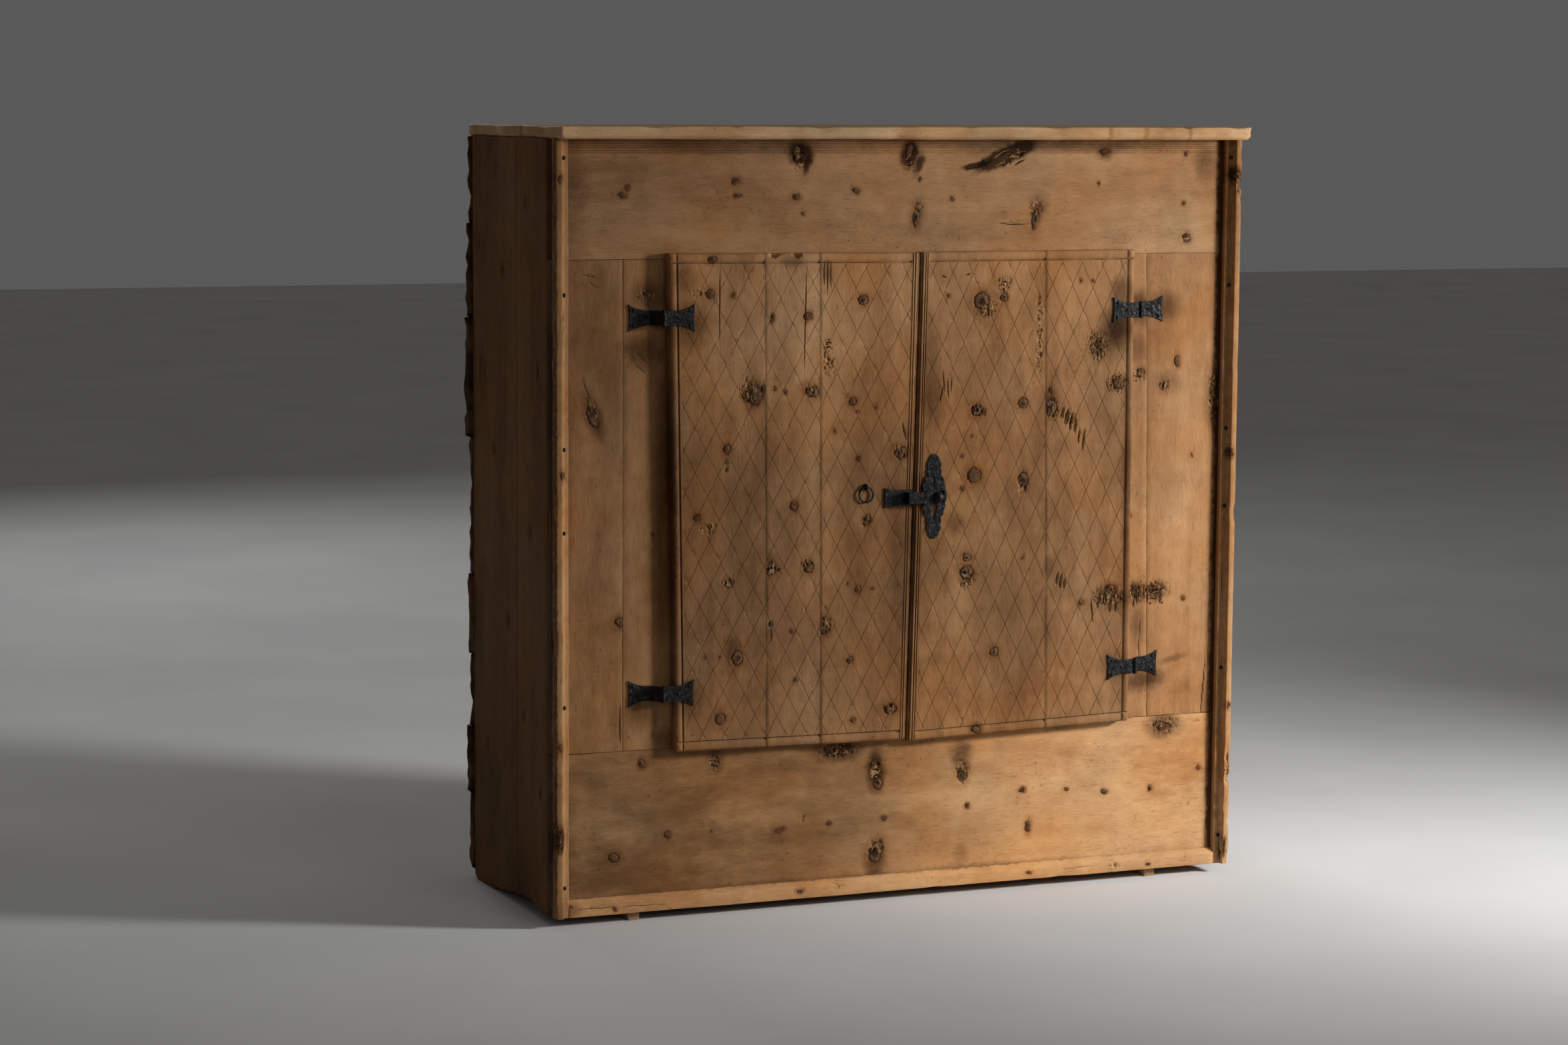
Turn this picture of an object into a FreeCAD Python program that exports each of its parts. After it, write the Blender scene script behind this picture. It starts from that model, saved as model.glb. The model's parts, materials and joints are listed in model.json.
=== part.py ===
import FreeCAD, Part
import os
from math import cos, radians, sin, sqrt

# Rustic two-door pine cupboard, in millimetres.  X runs along the front, Y from the front
# to the back and Z up.  The origin is on the floor under the middle of the whole piece.

# Case
case_width = 1250.0
case_height = 1270.0
ground_gap = 16.0
side_thickness = 24.0
side_depth = 388.0
side_front_board_depth = 148.0
frame_thickness = 26.0
back_thickness = 20.0
back_end_reach = 12.0

# Top
top_thickness = 23.0
top_front_overhang = 35.0
top_rear_overhang = 6.0
top_end_overhang = 2.0
top_front_board_depth = 220.0
top_chamfer = 6.0

# Front frame, rails running across and stiles of two boards each
top_rail_height = 194.5
bottom_rail_height = 269.0
top_rail_setback = 14.0
left_stile_width = 227.0
left_stile_outer_width = 122.0
right_stile_width = 229.0
right_stile_outer_top_width = 171.0
right_stile_outer_bottom_width = 155.0

# Moulded strips at the front corners and along the foot of the front
moulding_thickness = 22.0
moulding_flat = 10.5
moulding_cove = 11.0
moulding_fillet = 3.0
base_height = 28.0
base_thickness = 12.0
base_slope = 9.0
base_lip = 2.0

# Inside
floor_height = 52.0
floor_thickness = 20.0
floor_front_board_depth = 190.0
bearer_width = 30.0
bearer_inset = 128.0
block_width = 20.0
block_depth = 50.0
block_setback = 3.0
shelf_thickness = 22.0
shelf_front_setback = 12.0
cleat_section = 24.0
cleat_length = 330.0

# Doors lying on the front frame, none of their edges square
door_thickness = 20.5
door_gap = 0.5
meeting_gap = 2.5
meeting_top_offset = 18.3
meeting_bottom_offset = -0.6
left_overlap_top = 32.0
left_overlap_bottom = 18.0
right_overlap_top = 24.5
right_overlap_bottom = 26.3
left_lap_top_hinge = 9.5
left_lap_top_meeting = 6.5
left_lap_bottom_hinge = 3.0
left_lap_bottom_meeting = 8.0
right_lap_top_meeting = 7.5
right_lap_top_hinge = 8.0
right_lap_bottom_meeting = 11.0
right_lap_bottom_hinge = 1.0
rail_border = 16.0
hinge_border = 14.0
groove_width = 2.2
groove_depth = 1.6
meeting_border = 13.0
door_round = 4.0
ledge_height = 70.0
ledge_thickness = 22.0
ledge_chamfer = 6.0
ledge_hinge_inset = 14.0
ledge_meeting_inset = 30.0

# Forged hinges, each a pair of flared leaves on a pin
leaf_thickness = 2.5
leaf_length = 54.0
leaf_waist = 25.0
leaf_tip = 45.0
leaf_waist_run = 14.0
leaf_sag = 3.4
crank_start = 3.0
crank_run = 14.0
knuckle_radius = 4.0
knuckle_edge_gap = 10.5
knuckle_slit = 0.4
pin_radius = 2.0
pin_head_radius = 3.2
pin_head_height = 1.6
upper_hinge_drop = 95.0
lower_hinge_rise = 94.5
leaf_nail_tip_inset = 9.0
leaf_nail_spread = 12.0
leaf_nail_waist_place = 26.0

# Nails
nail_shank_radius = 1.5
nail_head_radius = 3.0
nail_head_height = 1.6
nail_length = 16.0
nail_clearance = 0.02
moulding_nail_seat = 9.0
moulding_nail_length = 30.0

# Turn latch on the right door and its strike plate on the left door
latch_height = 673.0
latch_set = 35.0
plate_thickness = 2.5
plate_half_height = 72.0
plate_half_width = 20.5
slit_width = 3.6
slit_height = 26.0
slit_rise = 26.0
notch_width = 13.0
notch_height = 27.0
notch_drop = 16.0
bracket_width = 33.0
bracket_height = 20.0
bracket_thickness = 2.5
bracket_ear = 8.0
spindle_radius = 4.0
neck_radius = 5.2
knob_radius = 9.5
knob_dome = 9.0
tongue_reach = 55.0
tongue_width = 19.0
tongue_thickness = 5.0
ear_clearance = 2.0
tip_clearance = 0.4
rivet_radius = 7.5
rivet_height = 3.0
strike_length = 50.0
strike_end_height = 34.0
strike_waist_height = 26.0
strike_thickness = 3.0
strike_set = 3.0

# Ring pull on the left door
ring_radius = 12.7
ring_wire_radius = 1.35
ring_set = 88.5
ring_rise = 20.0
staple_wire_radius = 1.6
staple_bend_radius = 3.5
staple_reach = 4.2
staple_root = 14.0
collar_radius = 5.5
collar_thickness = 1.6

# Fits
seat_clearance = 0.3
running_clearance = 0.05
overrun = 5.0

# Hand-made irregularities, as shares of the sizes that they follow
side_front_foot_shares = ((0.0, 1.0), (0.35, 1.0), (0.62, 1.55), (1.0, 1.25))
side_rear_foot_shares = ((0.0, 1.25), (0.27, 0.85), (0.56, 0.25), (0.72, 0.0), (0.965, 0.0), (1.0, 0.6))
back_edge_shares = (0.0, 0.106, 0.198, 0.297, 0.408, 0.595, 0.757, 0.884, 1.0)
back_left_end_shares = (0.55, 0.85, 0.35, 0.6, 0.3, 1.0, 0.7, 0.4)
back_right_end_shares = (0.4, 0.7, 1.0, 0.3, 0.65, 0.45, 0.9, 0.5)
left_plank_top_shares = (0.0, 0.373, 0.593, 1.0)
left_plank_bottom_shares = (0.0, 0.386, 0.622, 1.0)
right_plank_top_shares = (0.0, 0.424, 1.0)
right_plank_bottom_shares = (0.0, 0.382, 1.0)
lower_shelf_share = 0.315
upper_shelf_share = 0.5866
moulding_nail_shares = (0.04, 0.275, 0.5, 0.607, 0.803, 0.976)
plate_lobe_shares = ((1.0, 0.16), (0.9, 0.33), (0.6, 0.5), (0.58, 0.66), (0.5, 0.84), (0.0, 1.0))
plate_lobe_bulge_share = 0.16
leaf_tip_dip_share = 0.03
meeting_bead_shares = (0.26, 0.68, 1.0)
strike_waist_share = 0.6
strike_bow_share = 0.72

# Places that the sizes above lead to
half_width = case_width / 2
base_z = ground_gap
case_top_z = base_z + case_height
total_depth = (top_front_overhang + moulding_thickness + frame_thickness + side_depth
               + back_thickness + top_rear_overhang)
top_front_y = -total_depth / 2
moulding_front_y = top_front_y + top_front_overhang
panel_y = moulding_front_y + moulding_thickness
frame_back_y = panel_y + frame_thickness
back_front_y = frame_back_y + side_depth
back_rear_y = back_front_y + back_thickness
inner_half_width = half_width - side_thickness
opening_left_x = -half_width + left_stile_width
opening_right_x = half_width - right_stile_width
opening_bottom_z = base_z + bottom_rail_height
opening_top_z = case_top_z - top_rail_height
door_back_y = panel_y - door_gap
door_y = door_back_y - door_thickness
hinge_y = door_y - leaf_thickness / 2
left_axis_x = opening_left_x - max(left_overlap_top, left_overlap_bottom) - knuckle_edge_gap
right_axis_x = opening_right_x + max(right_overlap_top, right_overlap_bottom) + knuckle_edge_gap

DOWN_Y = FreeCAD.Vector(0, 1, 0)
UP = FreeCAD.Vector(0, 0, 1)


def vec(x, y, z):
    return FreeCAD.Vector(x, y, z)


def box(x0, x1, y0, y1, z0, z1):
    return Part.makeBox(x1 - x0, y1 - y0, z1 - z0, vec(x0, y0, z0))


def face_of(points):
    return Part.Face(Part.makePolygon(points + [points[0]]))


def upright_board(corners, y0, y1):
    """Board seen from the front: its corners as (x, z) pairs, from its front y0 to its back y1."""
    return face_of([vec(x, y0, z) for x, z in corners]).extrude(vec(0, y1 - y0, 0))


def along_x(profile, x0, x1):
    """Solid of one section, its corners as (y, z) pairs, running from x0 to x1."""
    return face_of([vec(x0, y, z) for y, z in profile]).extrude(vec(x1 - x0, 0, 0))


def rod_y(x, z, radius, y0, y1):
    return Part.makeCylinder(radius, y1 - y0, vec(x, y0, z), DOWN_Y)


def rod_z(x, y, radius, z0, z1):
    return Part.makeCylinder(radius, z1 - z0, vec(x, y, z0), UP)


def arc(start, middle, end):
    return Part.Arc(start, middle, end).toShape()


def line(start, end):
    return Part.makeLine(start, end)


def save(node, *solids):
    shape = solids[0] if len(solids) == 1 else Part.makeCompound(list(solids))
    shape.exportStep("parts/" + node + ".step")


def nail(x, z, seat_y, length):
    """Nail driven in from the front: a low domed head on the face at seat_y, and its shank behind."""
    def at(radius, y):
        return vec(x + radius, y, z)
    tip_y = seat_y - nail_head_height
    crown = at(nail_head_radius * cos(radians(45)), seat_y - nail_head_height * sin(radians(45)))
    outline = [at(nail_head_radius, seat_y), at(nail_shank_radius, seat_y),
               at(nail_shank_radius, seat_y + length), at(0, seat_y + length), at(0, tip_y)]
    edges = [line(*pair) for pair in zip(outline, outline[1:])]
    edges.append(arc(at(0, tip_y), crown, at(nail_head_radius, seat_y)))
    return Part.Face(Part.Wire(edges)).revolve(at(0, tip_y), DOWN_Y, 360)


def nail_hole(x, z, seat_y, length):
    """The hole a nail's shank leaves, a hair wider and deeper than the shank."""
    radius = nail_shank_radius + nail_clearance
    return rod_y(x, z, radius, seat_y - nail_clearance, seat_y + length + nail_clearance)


def mid(value0, value1, share):
    return value0 + (value1 - value0) * share


# Front corner mouldings: a flat, a cove falling inwards and a fillet, nailed through the cove
moulding_width = moulding_flat + moulding_cove + moulding_fillet


def corner_moulding(side):
    """Corner strip; side is -1 on the left and 1 on the right."""
    outer_x = side * half_width
    cove_x = outer_x - side * moulding_flat
    fillet_x = cove_x - side * moulding_cove
    inner_x = outer_x - side * moulding_width
    cove_y = moulding_front_y + moulding_cove
    bend = moulding_cove * (1 - sqrt(0.5))
    section = Part.Wire([
        line(vec(outer_x, panel_y, base_z), vec(outer_x, moulding_front_y, base_z)),
        line(vec(outer_x, moulding_front_y, base_z), vec(cove_x, moulding_front_y, base_z)),
        arc(vec(cove_x, moulding_front_y, base_z),
            vec(cove_x - side * bend, cove_y - bend, base_z),
            vec(fillet_x, cove_y, base_z)),
        line(vec(fillet_x, cove_y, base_z), vec(inner_x, cove_y, base_z)),
        line(vec(inner_x, cove_y, base_z), vec(inner_x, panel_y, base_z)),
        line(vec(inner_x, panel_y, base_z), vec(outer_x, panel_y, base_z))])
    return Part.Face(section).extrude(vec(0, 0, case_height))


def moulding_nail_places(side):
    x = side * (half_width - moulding_flat - moulding_cove / 2)
    return [(x, mid(base_z, case_top_z, share)) for share in moulding_nail_shares]


moulding_seat_y = moulding_front_y + moulding_nail_seat


def with_moulding_nail_holes(shape, side):
    for x, z in moulding_nail_places(side):
        shape = shape.cut(nail_hole(x, z, moulding_seat_y, moulding_nail_length))
    return shape


def sink_moulding_nails(shape, side):
    """Pockets that let the nail heads into the cove."""
    for x, z in moulding_nail_places(side):
        pocket_radius = nail_head_radius + nail_clearance
        shape = shape.cut(rod_y(x, z, pocket_radius, moulding_front_y - overrun, moulding_seat_y))
    return shape


# Sides: two upright boards each, standing on the floor at the rear and worn short in front
side_joint_y = frame_back_y + side_front_board_depth


def side_board(side, y0, y1, foot_shares):
    x0 = side * half_width
    foot = [(mid(y0, y1, place), ground_gap * lift) for place, lift in foot_shares]
    outline = foot + [(y1, case_top_z), (y0, case_top_z)]
    return along_x(outline, x0, x0 - side * side_thickness)


# Back: rough boards lying across, their ends standing out past the sides
def back_board(index):
    z0 = mid(base_z, case_top_z, back_edge_shares[index])
    z1 = mid(base_z, case_top_z, back_edge_shares[index + 1])
    x0 = -half_width - back_end_reach * back_left_end_shares[index]
    x1 = half_width + back_end_reach * back_right_end_shares[index]
    return box(x0, x1, back_front_y, back_rear_y, z0, z1)


# Top: a front and a rear board, chamfered below along the front and the ends
def lower_edges(board, y_limit):
    """Lower outer edges of a top board: its ends, and its front edge where that lies before y_limit."""
    end_x = half_width + top_end_overhang
    found = []
    for edge in board.Edges:
        points = [vertex.Point for vertex in edge.Vertexes]
        low = all(abs(point.z - case_top_z) < seat_clearance for point in points)
        at_end = all(abs(abs(point.x) - end_x) < seat_clearance for point in points)
        same_end = points[0].x * points[1].x > 0
        at_front = all(point.y < y_limit for point in points)
        if low and ((at_end and same_end) or at_front):
            found.append(edge)
    return found


def top_board(y0, y1):
    end_x = half_width + top_end_overhang
    board = box(-end_x, end_x, y0, y1, case_top_z, case_top_z + top_thickness)
    return board.makeChamfer(top_chamfer, lower_edges(board, top_front_y + seat_clearance))


# Doors
def door_corners(hinge_x_top, hinge_x_bottom, meeting_top, meeting_bottom, laps):
    """Corners as (x, z): hinge top, meeting top, meeting bottom, hinge bottom."""
    top_hinge, top_meeting, bottom_meeting, bottom_hinge = laps
    return [(hinge_x_top, opening_top_z + top_hinge),
            (meeting_top, opening_top_z + top_meeting),
            (meeting_bottom, opening_bottom_z - bottom_meeting),
            (hinge_x_bottom, opening_bottom_z - bottom_hinge)]


left_door = door_corners(
    opening_left_x - left_overlap_top, opening_left_x - left_overlap_bottom,
    meeting_top_offset - meeting_gap / 2, meeting_bottom_offset - meeting_gap / 2,
    (left_lap_top_hinge, left_lap_top_meeting, left_lap_bottom_meeting, left_lap_bottom_hinge))
right_door = door_corners(
    opening_right_x + right_overlap_top, opening_right_x + right_overlap_bottom,
    meeting_top_offset + meeting_gap / 2, meeting_bottom_offset + meeting_gap / 2,
    (right_lap_top_hinge, right_lap_top_meeting, right_lap_bottom_meeting, right_lap_bottom_hinge))


def between(point0, point1, share):
    return (mid(point0[0], point1[0], share), mid(point0[1], point1[1], share))


def on_line(point0, point1, z):
    """The x at height z of the line through two points."""
    return mid(point0[0], point1[0], (z - point0[1]) / (point1[1] - point0[1]))


def shifted_line(point0, point1, inward):
    """The line through two points, moved sideways by inward and run on past both its ends."""
    length = sqrt((point1[0] - point0[0]) ** 2 + (point1[1] - point0[1]) ** 2)
    along = ((point1[0] - point0[0]) / length, (point1[1] - point0[1]) / length)
    across = (-along[1] * inward, along[0] * inward)
    start = (point0[0] + across[0] - along[0] * overrun, point0[1] + across[1] - along[1] * overrun)
    end = (point1[0] + across[0] + along[0] * overrun, point1[1] + across[1] + along[1] * overrun)
    return start, end, across


def groove(point0, point1, inward):
    """V-groove in a door's face, inward of the edge from point0 to point1 by that distance."""
    start, end, across = shifted_line(point0, point1, inward)
    half = groove_width / 2 / abs(inward)
    side0 = vec(start[0] - across[0] * half, door_y, start[1] - across[1] * half)
    side1 = vec(start[0] + across[0] * half, door_y, start[1] + across[1] * half)
    root = vec(start[0], door_y + groove_depth, start[1])
    return face_of([side0, side1, root]).extrude(vec(end[0] - start[0], 0, end[1] - start[1]))


def border_grooves(corners, turn):
    """Quirks along the rails' ends of a door, its hinge edge, and the beads at its meeting edge."""
    hinge_top, meeting_top, meeting_bottom, hinge_bottom = corners
    cuts = [groove(hinge_top, meeting_top, -turn * rail_border),
            groove(hinge_bottom, meeting_bottom, turn * rail_border),
            groove(hinge_bottom, hinge_top, -turn * hinge_border)]
    for share in meeting_bead_shares:
        cuts.append(groove(meeting_bottom, meeting_top, turn * meeting_border * share))
    return cuts


def round_front(plank, edges_at):
    """Rounds the front edges of a plank that lie on a door's own outline."""
    found = []
    for edge in plank.Edges:
        points = [vertex.Point for vertex in edge.Vertexes]
        front = all(abs(point.y - door_y) < seat_clearance for point in points)
        if front and any(all(on_edge(point, *sides) for point in points) for sides in edges_at):
            found.append(edge)
    return plank.makeFillet(door_round, found)


def on_edge(point, end0, end1):
    run = (end1[0] - end0[0], end1[1] - end0[1])
    length = sqrt(run[0] ** 2 + run[1] ** 2)
    off = (point.x - end0[0]) * run[1] - (point.z - end0[1]) * run[0]
    return abs(off) / length < seat_clearance


def door_planks(corners, top_shares, bottom_shares, turn):
    hinge_top, meeting_top, meeting_bottom, hinge_bottom = corners
    rounded = [(hinge_top, meeting_top), (hinge_bottom, meeting_bottom), (hinge_top, hinge_bottom)]
    cuts = border_grooves(corners, turn)
    planks = []
    for index in range(len(top_shares) - 1):
        outline = [between(hinge_top, meeting_top, top_shares[index]),
                   between(hinge_top, meeting_top, top_shares[index + 1]),
                   between(hinge_bottom, meeting_bottom, bottom_shares[index + 1]),
                   between(hinge_bottom, meeting_bottom, bottom_shares[index])]
        plank = round_front(upright_board(outline, door_y, door_back_y), rounded)
        planks.append(plank.cut(Part.makeCompound(cuts)))
    return planks


ledge_back_y = door_back_y + ledge_thickness


def ledge(x0, x1, z):
    """Batten across the back of a door at a hinge's height, its rear edges chamfered."""
    z0 = z - ledge_height / 2
    z1 = z + ledge_height / 2
    section = [(door_back_y, z0), (ledge_back_y - ledge_chamfer, z0), (ledge_back_y, z0 + ledge_chamfer),
               (ledge_back_y, z1 - ledge_chamfer), (ledge_back_y - ledge_chamfer, z1), (door_back_y, z1)]
    return along_x(section, x0, x1)


# Hinges
hinge_rows = (("upper", opening_top_z - upper_hinge_drop), ("lower", opening_bottom_z + lower_hinge_rise))
knuckle_length = (leaf_waist - 2 * knuckle_slit) / 3


def leaf_outline(axis_x, turn, z, y0, y1):
    """Flared leaf seen from the front, from its axis outwards, cut through from y0 to y1."""
    def at(run, rise):
        return vec(axis_x + turn * run, y0, z + rise)
    bow_x = (leaf_waist_run + leaf_length) / 2
    bow_z = (leaf_waist + leaf_tip) / 4 - leaf_sag
    dip_x = leaf_length - leaf_length * leaf_tip_dip_share
    edges = [line(at(0, -leaf_waist / 2), at(leaf_waist_run, -leaf_waist / 2)),
             arc(at(leaf_waist_run, -leaf_waist / 2), at(bow_x, -bow_z), at(leaf_length, -leaf_tip / 2)),
             arc(at(leaf_length, -leaf_tip / 2), at(dip_x, 0), at(leaf_length, leaf_tip / 2)),
             arc(at(leaf_length, leaf_tip / 2), at(bow_x, bow_z), at(leaf_waist_run, leaf_waist / 2)),
             line(at(leaf_waist_run, leaf_waist / 2), at(0, leaf_waist / 2)),
             line(at(0, leaf_waist / 2), at(0, -leaf_waist / 2))]
    return Part.Face(Part.Wire(edges)).extrude(vec(0, y1 - y0, 0))


def leaf_sheet(axis_x, turn, z, drop):
    """Sheet of one thickness seen from above, stepping back by drop just past the knuckle."""
    half = leaf_thickness / 2
    crank_end = crank_start + crank_run
    front = [(0, -half), (crank_start, -half), (crank_end, drop - half), (leaf_length, drop - half)]
    back = [(leaf_length, drop + half), (crank_end - half, drop + half), (crank_start - half, half), (0, half)]
    if drop == 0:
        front = [front[0], front[-1]]
        back = [back[0], back[-1]]
    points = [vec(axis_x + turn * run, hinge_y + fall, z - leaf_tip) for run, fall in front + back]
    return face_of(points).extrude(vec(0, 0, 2 * leaf_tip))


def leaf_nail_places(axis_x, turn, z):
    tip_x = axis_x + turn * (leaf_length - leaf_nail_tip_inset)
    waist_x = axis_x + turn * leaf_nail_waist_place
    return [(tip_x, z + leaf_nail_spread), (tip_x, z - leaf_nail_spread), (waist_x, z)]


def hinge_leaf(axis_x, turn, z, drop, seat_y, knuckles):
    """One leaf with its knuckles; knuckles counts the thirds of the barrel that it carries, from below."""
    sheet = leaf_sheet(axis_x, turn, z, drop)
    outline = leaf_outline(axis_x, turn, z, hinge_y - overrun, panel_y + overrun)
    shape = sheet.common(outline)
    bottom_z = z - leaf_waist / 2
    for third in range(3):
        z0 = bottom_z + third * (knuckle_length + knuckle_slit)
        z1 = z0 + knuckle_length
        if third in knuckles:
            shape = shape.fuse(rod_z(axis_x, hinge_y, knuckle_radius, z0, z1))
        else:
            gap_radius = knuckle_radius + knuckle_slit
            shape = shape.cut(rod_z(axis_x, hinge_y, gap_radius, z0 - knuckle_slit, z1 + knuckle_slit))
    shape = shape.cut(rod_z(axis_x, hinge_y, pin_radius + running_clearance, z - leaf_tip, z + leaf_tip))
    for x, nail_z in leaf_nail_places(axis_x, turn, z):
        shape = shape.cut(nail_hole(x, nail_z, seat_y, nail_length))
    return shape.removeSplitter()


def hinge_pin(axis_x, z):
    """Pin with a peened head at both ends of the barrel."""
    top_z = z + leaf_waist / 2 + running_clearance
    bottom_z = z - leaf_waist / 2 - running_clearance
    pin = rod_z(axis_x, hinge_y, pin_radius, bottom_z, top_z)
    pin = pin.fuse(rod_z(axis_x, hinge_y, pin_head_radius, top_z, top_z + pin_head_height))
    pin = pin.fuse(rod_z(axis_x, hinge_y, pin_head_radius, bottom_z - pin_head_height, bottom_z))
    return pin.removeSplitter()


stile_drop = panel_y - leaf_thickness / 2 - hinge_y
stile_seat_y = panel_y - leaf_thickness
door_seat_y = door_y - leaf_thickness
hinge_axes = {"left": (left_axis_x, 1), "right": (right_axis_x, -1)}


def with_nail_holes(shape, places, seat_y):
    for x, z in places:
        shape = shape.cut(nail_hole(x, z, seat_y, nail_length))
    return shape


def hinge_places(hand, on_door):
    """Nail places of one hand's two leaves, on its door or on its stile."""
    axis_x, turn = hinge_axes[hand]
    facing = turn if on_door else -turn
    return [place for row, z in hinge_rows for place in leaf_nail_places(axis_x, facing, z)]


# Turn latch
latch_z = base_z + latch_height
latch_x = on_line(right_door[1], right_door[2], latch_z) + latch_set
plate_y = door_y - plate_thickness
bracket_y = plate_y - bracket_thickness
ear_y = bracket_y - bracket_ear
tongue_back_y = ear_y - ear_clearance
tongue_y = tongue_back_y - tongue_thickness
strike_y = door_y - strike_thickness


def mirrored_lobes():
    """Right-hand half of the plate's outline as (x, z) shares, from its bottom tip to its top tip."""
    upper = list(plate_lobe_shares)
    lower = [(x, -z) for x, z in reversed(upper)]
    return lower + upper


def latch_plate():
    """Leaf-ended plate with lobed edges, pierced by a slit above and a notch below."""
    half = [(latch_x + plate_half_width * x, latch_z + plate_half_height * z) for x, z in mirrored_lobes()]
    other = [(2 * latch_x - x, z) for x, z in reversed(half)]
    rim = half[:-1] + other[:-1]
    edges = []
    for index, start in enumerate(rim):
        end = rim[(index + 1) % len(rim)]
        swing = ((end[1] - start[1]) * plate_lobe_bulge_share, (start[0] - end[0]) * plate_lobe_bulge_share)
        top = ((start[0] + end[0]) / 2 + swing[0], (start[1] + end[1]) / 2 + swing[1])
        edges.append(arc(*[vec(x, plate_y, z) for x, z in (start, top, end)]))
    plate = Part.Face(Part.Wire(edges)).extrude(vec(0, plate_thickness, 0))
    slit_z = latch_z + slit_rise
    slit = upright_board([(latch_x, slit_z - slit_height / 2), (latch_x + slit_width / 2, slit_z),
                          (latch_x, slit_z + slit_height / 2), (latch_x - slit_width / 2, slit_z)],
                         plate_y - overrun, door_y + overrun)
    notch_z = latch_z - notch_drop
    notch = upright_board([(latch_x - notch_width / 2, notch_z), (latch_x + notch_width / 2, notch_z),
                           (latch_x, notch_z - notch_height)], plate_y - overrun, door_y + overrun)
    return plate.cut(slit).cut(notch).cut(spindle_bore())


def spindle_bore():
    return rod_y(latch_x, latch_z, spindle_radius + running_clearance, ear_y, door_back_y + overrun)


def latch_bracket():
    """Channel with two ears that stands on the plate behind the tongue."""
    x0 = latch_x - bracket_width / 2
    x1 = latch_x + bracket_width / 2
    z0 = latch_z - bracket_height / 2
    z1 = latch_z + bracket_height / 2
    channel = box(x0, x1, ear_y, plate_y, z0, z1)
    inside = box(x0 + bracket_thickness, x1 - bracket_thickness, ear_y - overrun, bracket_y,
                 z0 - overrun, z1 + overrun)
    return channel.cut(inside).cut(spindle_bore())


def latch_tongue():
    """Flat bar with a round eye at the spindle and its tip bent back to the strike plate."""
    tip_x = latch_x - tongue_reach
    z0 = latch_z - tongue_width / 2
    z1 = latch_z + tongue_width / 2
    bar = box(tip_x, latch_x, tongue_y, tongue_back_y, z0, z1)
    eye = rod_y(latch_x, latch_z, tongue_width / 2, tongue_y, tongue_back_y)
    tip = box(tip_x, tip_x + tongue_thickness, tongue_y, strike_y - tip_clearance, z0, z1)
    bent = bar.fuse([eye, tip]).removeSplitter()
    corner = [edge for edge in bent.Edges if at_tip_corner(edge, tip_x)]
    bent = bent.makeFillet(tongue_thickness / 2, corner)
    return bent.cut(rod_y(latch_x, latch_z, neck_radius, tongue_y - overrun, tongue_back_y + overrun))


def at_tip_corner(edge, tip_x):
    points = [vertex.Point for vertex in edge.Vertexes]
    return all(abs(point.x - tip_x) < tip_clearance and abs(point.y - tongue_y) < tip_clearance
               for point in points)


def latch_knob():
    """Domed knob on a spindle that passes through the door and is riveted over behind it."""
    tip_y = tongue_y - knob_dome
    neck_y = bracket_y - seat_clearance
    rivet_y = door_back_y + seat_clearance
    end_y = rivet_y + rivet_height

    def at(radius, y):
        return vec(latch_x + radius, y, latch_z)
    crown = at(knob_radius * cos(radians(45)), tongue_y - knob_dome * sin(radians(45)))
    outline = [at(knob_radius, tongue_y), at(neck_radius, tongue_y), at(neck_radius, neck_y),
               at(spindle_radius, neck_y), at(spindle_radius, rivet_y), at(rivet_radius, rivet_y),
               at(rivet_radius, end_y), at(0, end_y), at(0, tip_y)]
    edges = [line(*pair) for pair in zip(outline, outline[1:])]
    edges.append(arc(at(0, tip_y), crown, at(knob_radius, tongue_y)))
    return Part.Face(Part.Wire(edges)).revolve(at(0, tip_y), DOWN_Y, 360)


def strike_plate():
    """Fishtail plate under the tongue's tip."""
    x1 = on_line(left_door[1], left_door[2], latch_z) - strike_set
    x0 = x1 - strike_length
    waist_x = mid(x0, x1, strike_waist_share)
    end = strike_end_height / 2
    waist = strike_waist_height / 2

    def at(x, rise):
        return vec(x, strike_y, latch_z + rise)
    bow_x = (x0 + waist_x) / 2
    bow = mid(end, waist, strike_bow_share)
    edges = [line(at(x0, -end), at(x0, end)),
             arc(at(x0, end), at(bow_x, bow), at(waist_x, waist)),
             line(at(waist_x, waist), at(x1, waist)),
             line(at(x1, waist), at(x1, -waist)),
             line(at(x1, -waist), at(waist_x, -waist)),
             arc(at(waist_x, -waist), at(bow_x, -bow), at(x0, -end))]
    return Part.Face(Part.Wire(edges)).extrude(vec(0, strike_thickness, 0))


# Ring pull
ring_z = latch_z + ring_rise
ring_x = on_line(left_door[1], left_door[2], ring_z) - ring_set
ring_y = door_y - staple_reach


def pull_ring():
    return Part.makeTorus(ring_radius, ring_wire_radius, vec(ring_x, ring_y, ring_z - ring_radius), DOWN_Y)


def ring_staple():
    """Staple bent round the top of the ring, driven into the door through a collar."""
    root_y = door_y + staple_root
    top_z = ring_z + staple_bend_radius
    low_z = ring_z - staple_bend_radius
    path = Part.Wire([
        line(vec(ring_x, root_y, top_z), vec(ring_x, ring_y, top_z)),
        arc(vec(ring_x, ring_y, top_z), vec(ring_x, ring_y - staple_bend_radius, ring_z),
            vec(ring_x, ring_y, low_z)),
        line(vec(ring_x, ring_y, low_z), vec(ring_x, root_y, low_z))])
    section = Part.Wire(Part.makeCircle(staple_wire_radius, vec(ring_x, root_y, top_z), DOWN_Y))
    wire = path.makePipeShell([section], True, False)
    collar = rod_y(ring_x, ring_z, collar_radius, door_y - collar_thickness, door_y)
    return collar.fuse(wire).removeSplitter()


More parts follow.
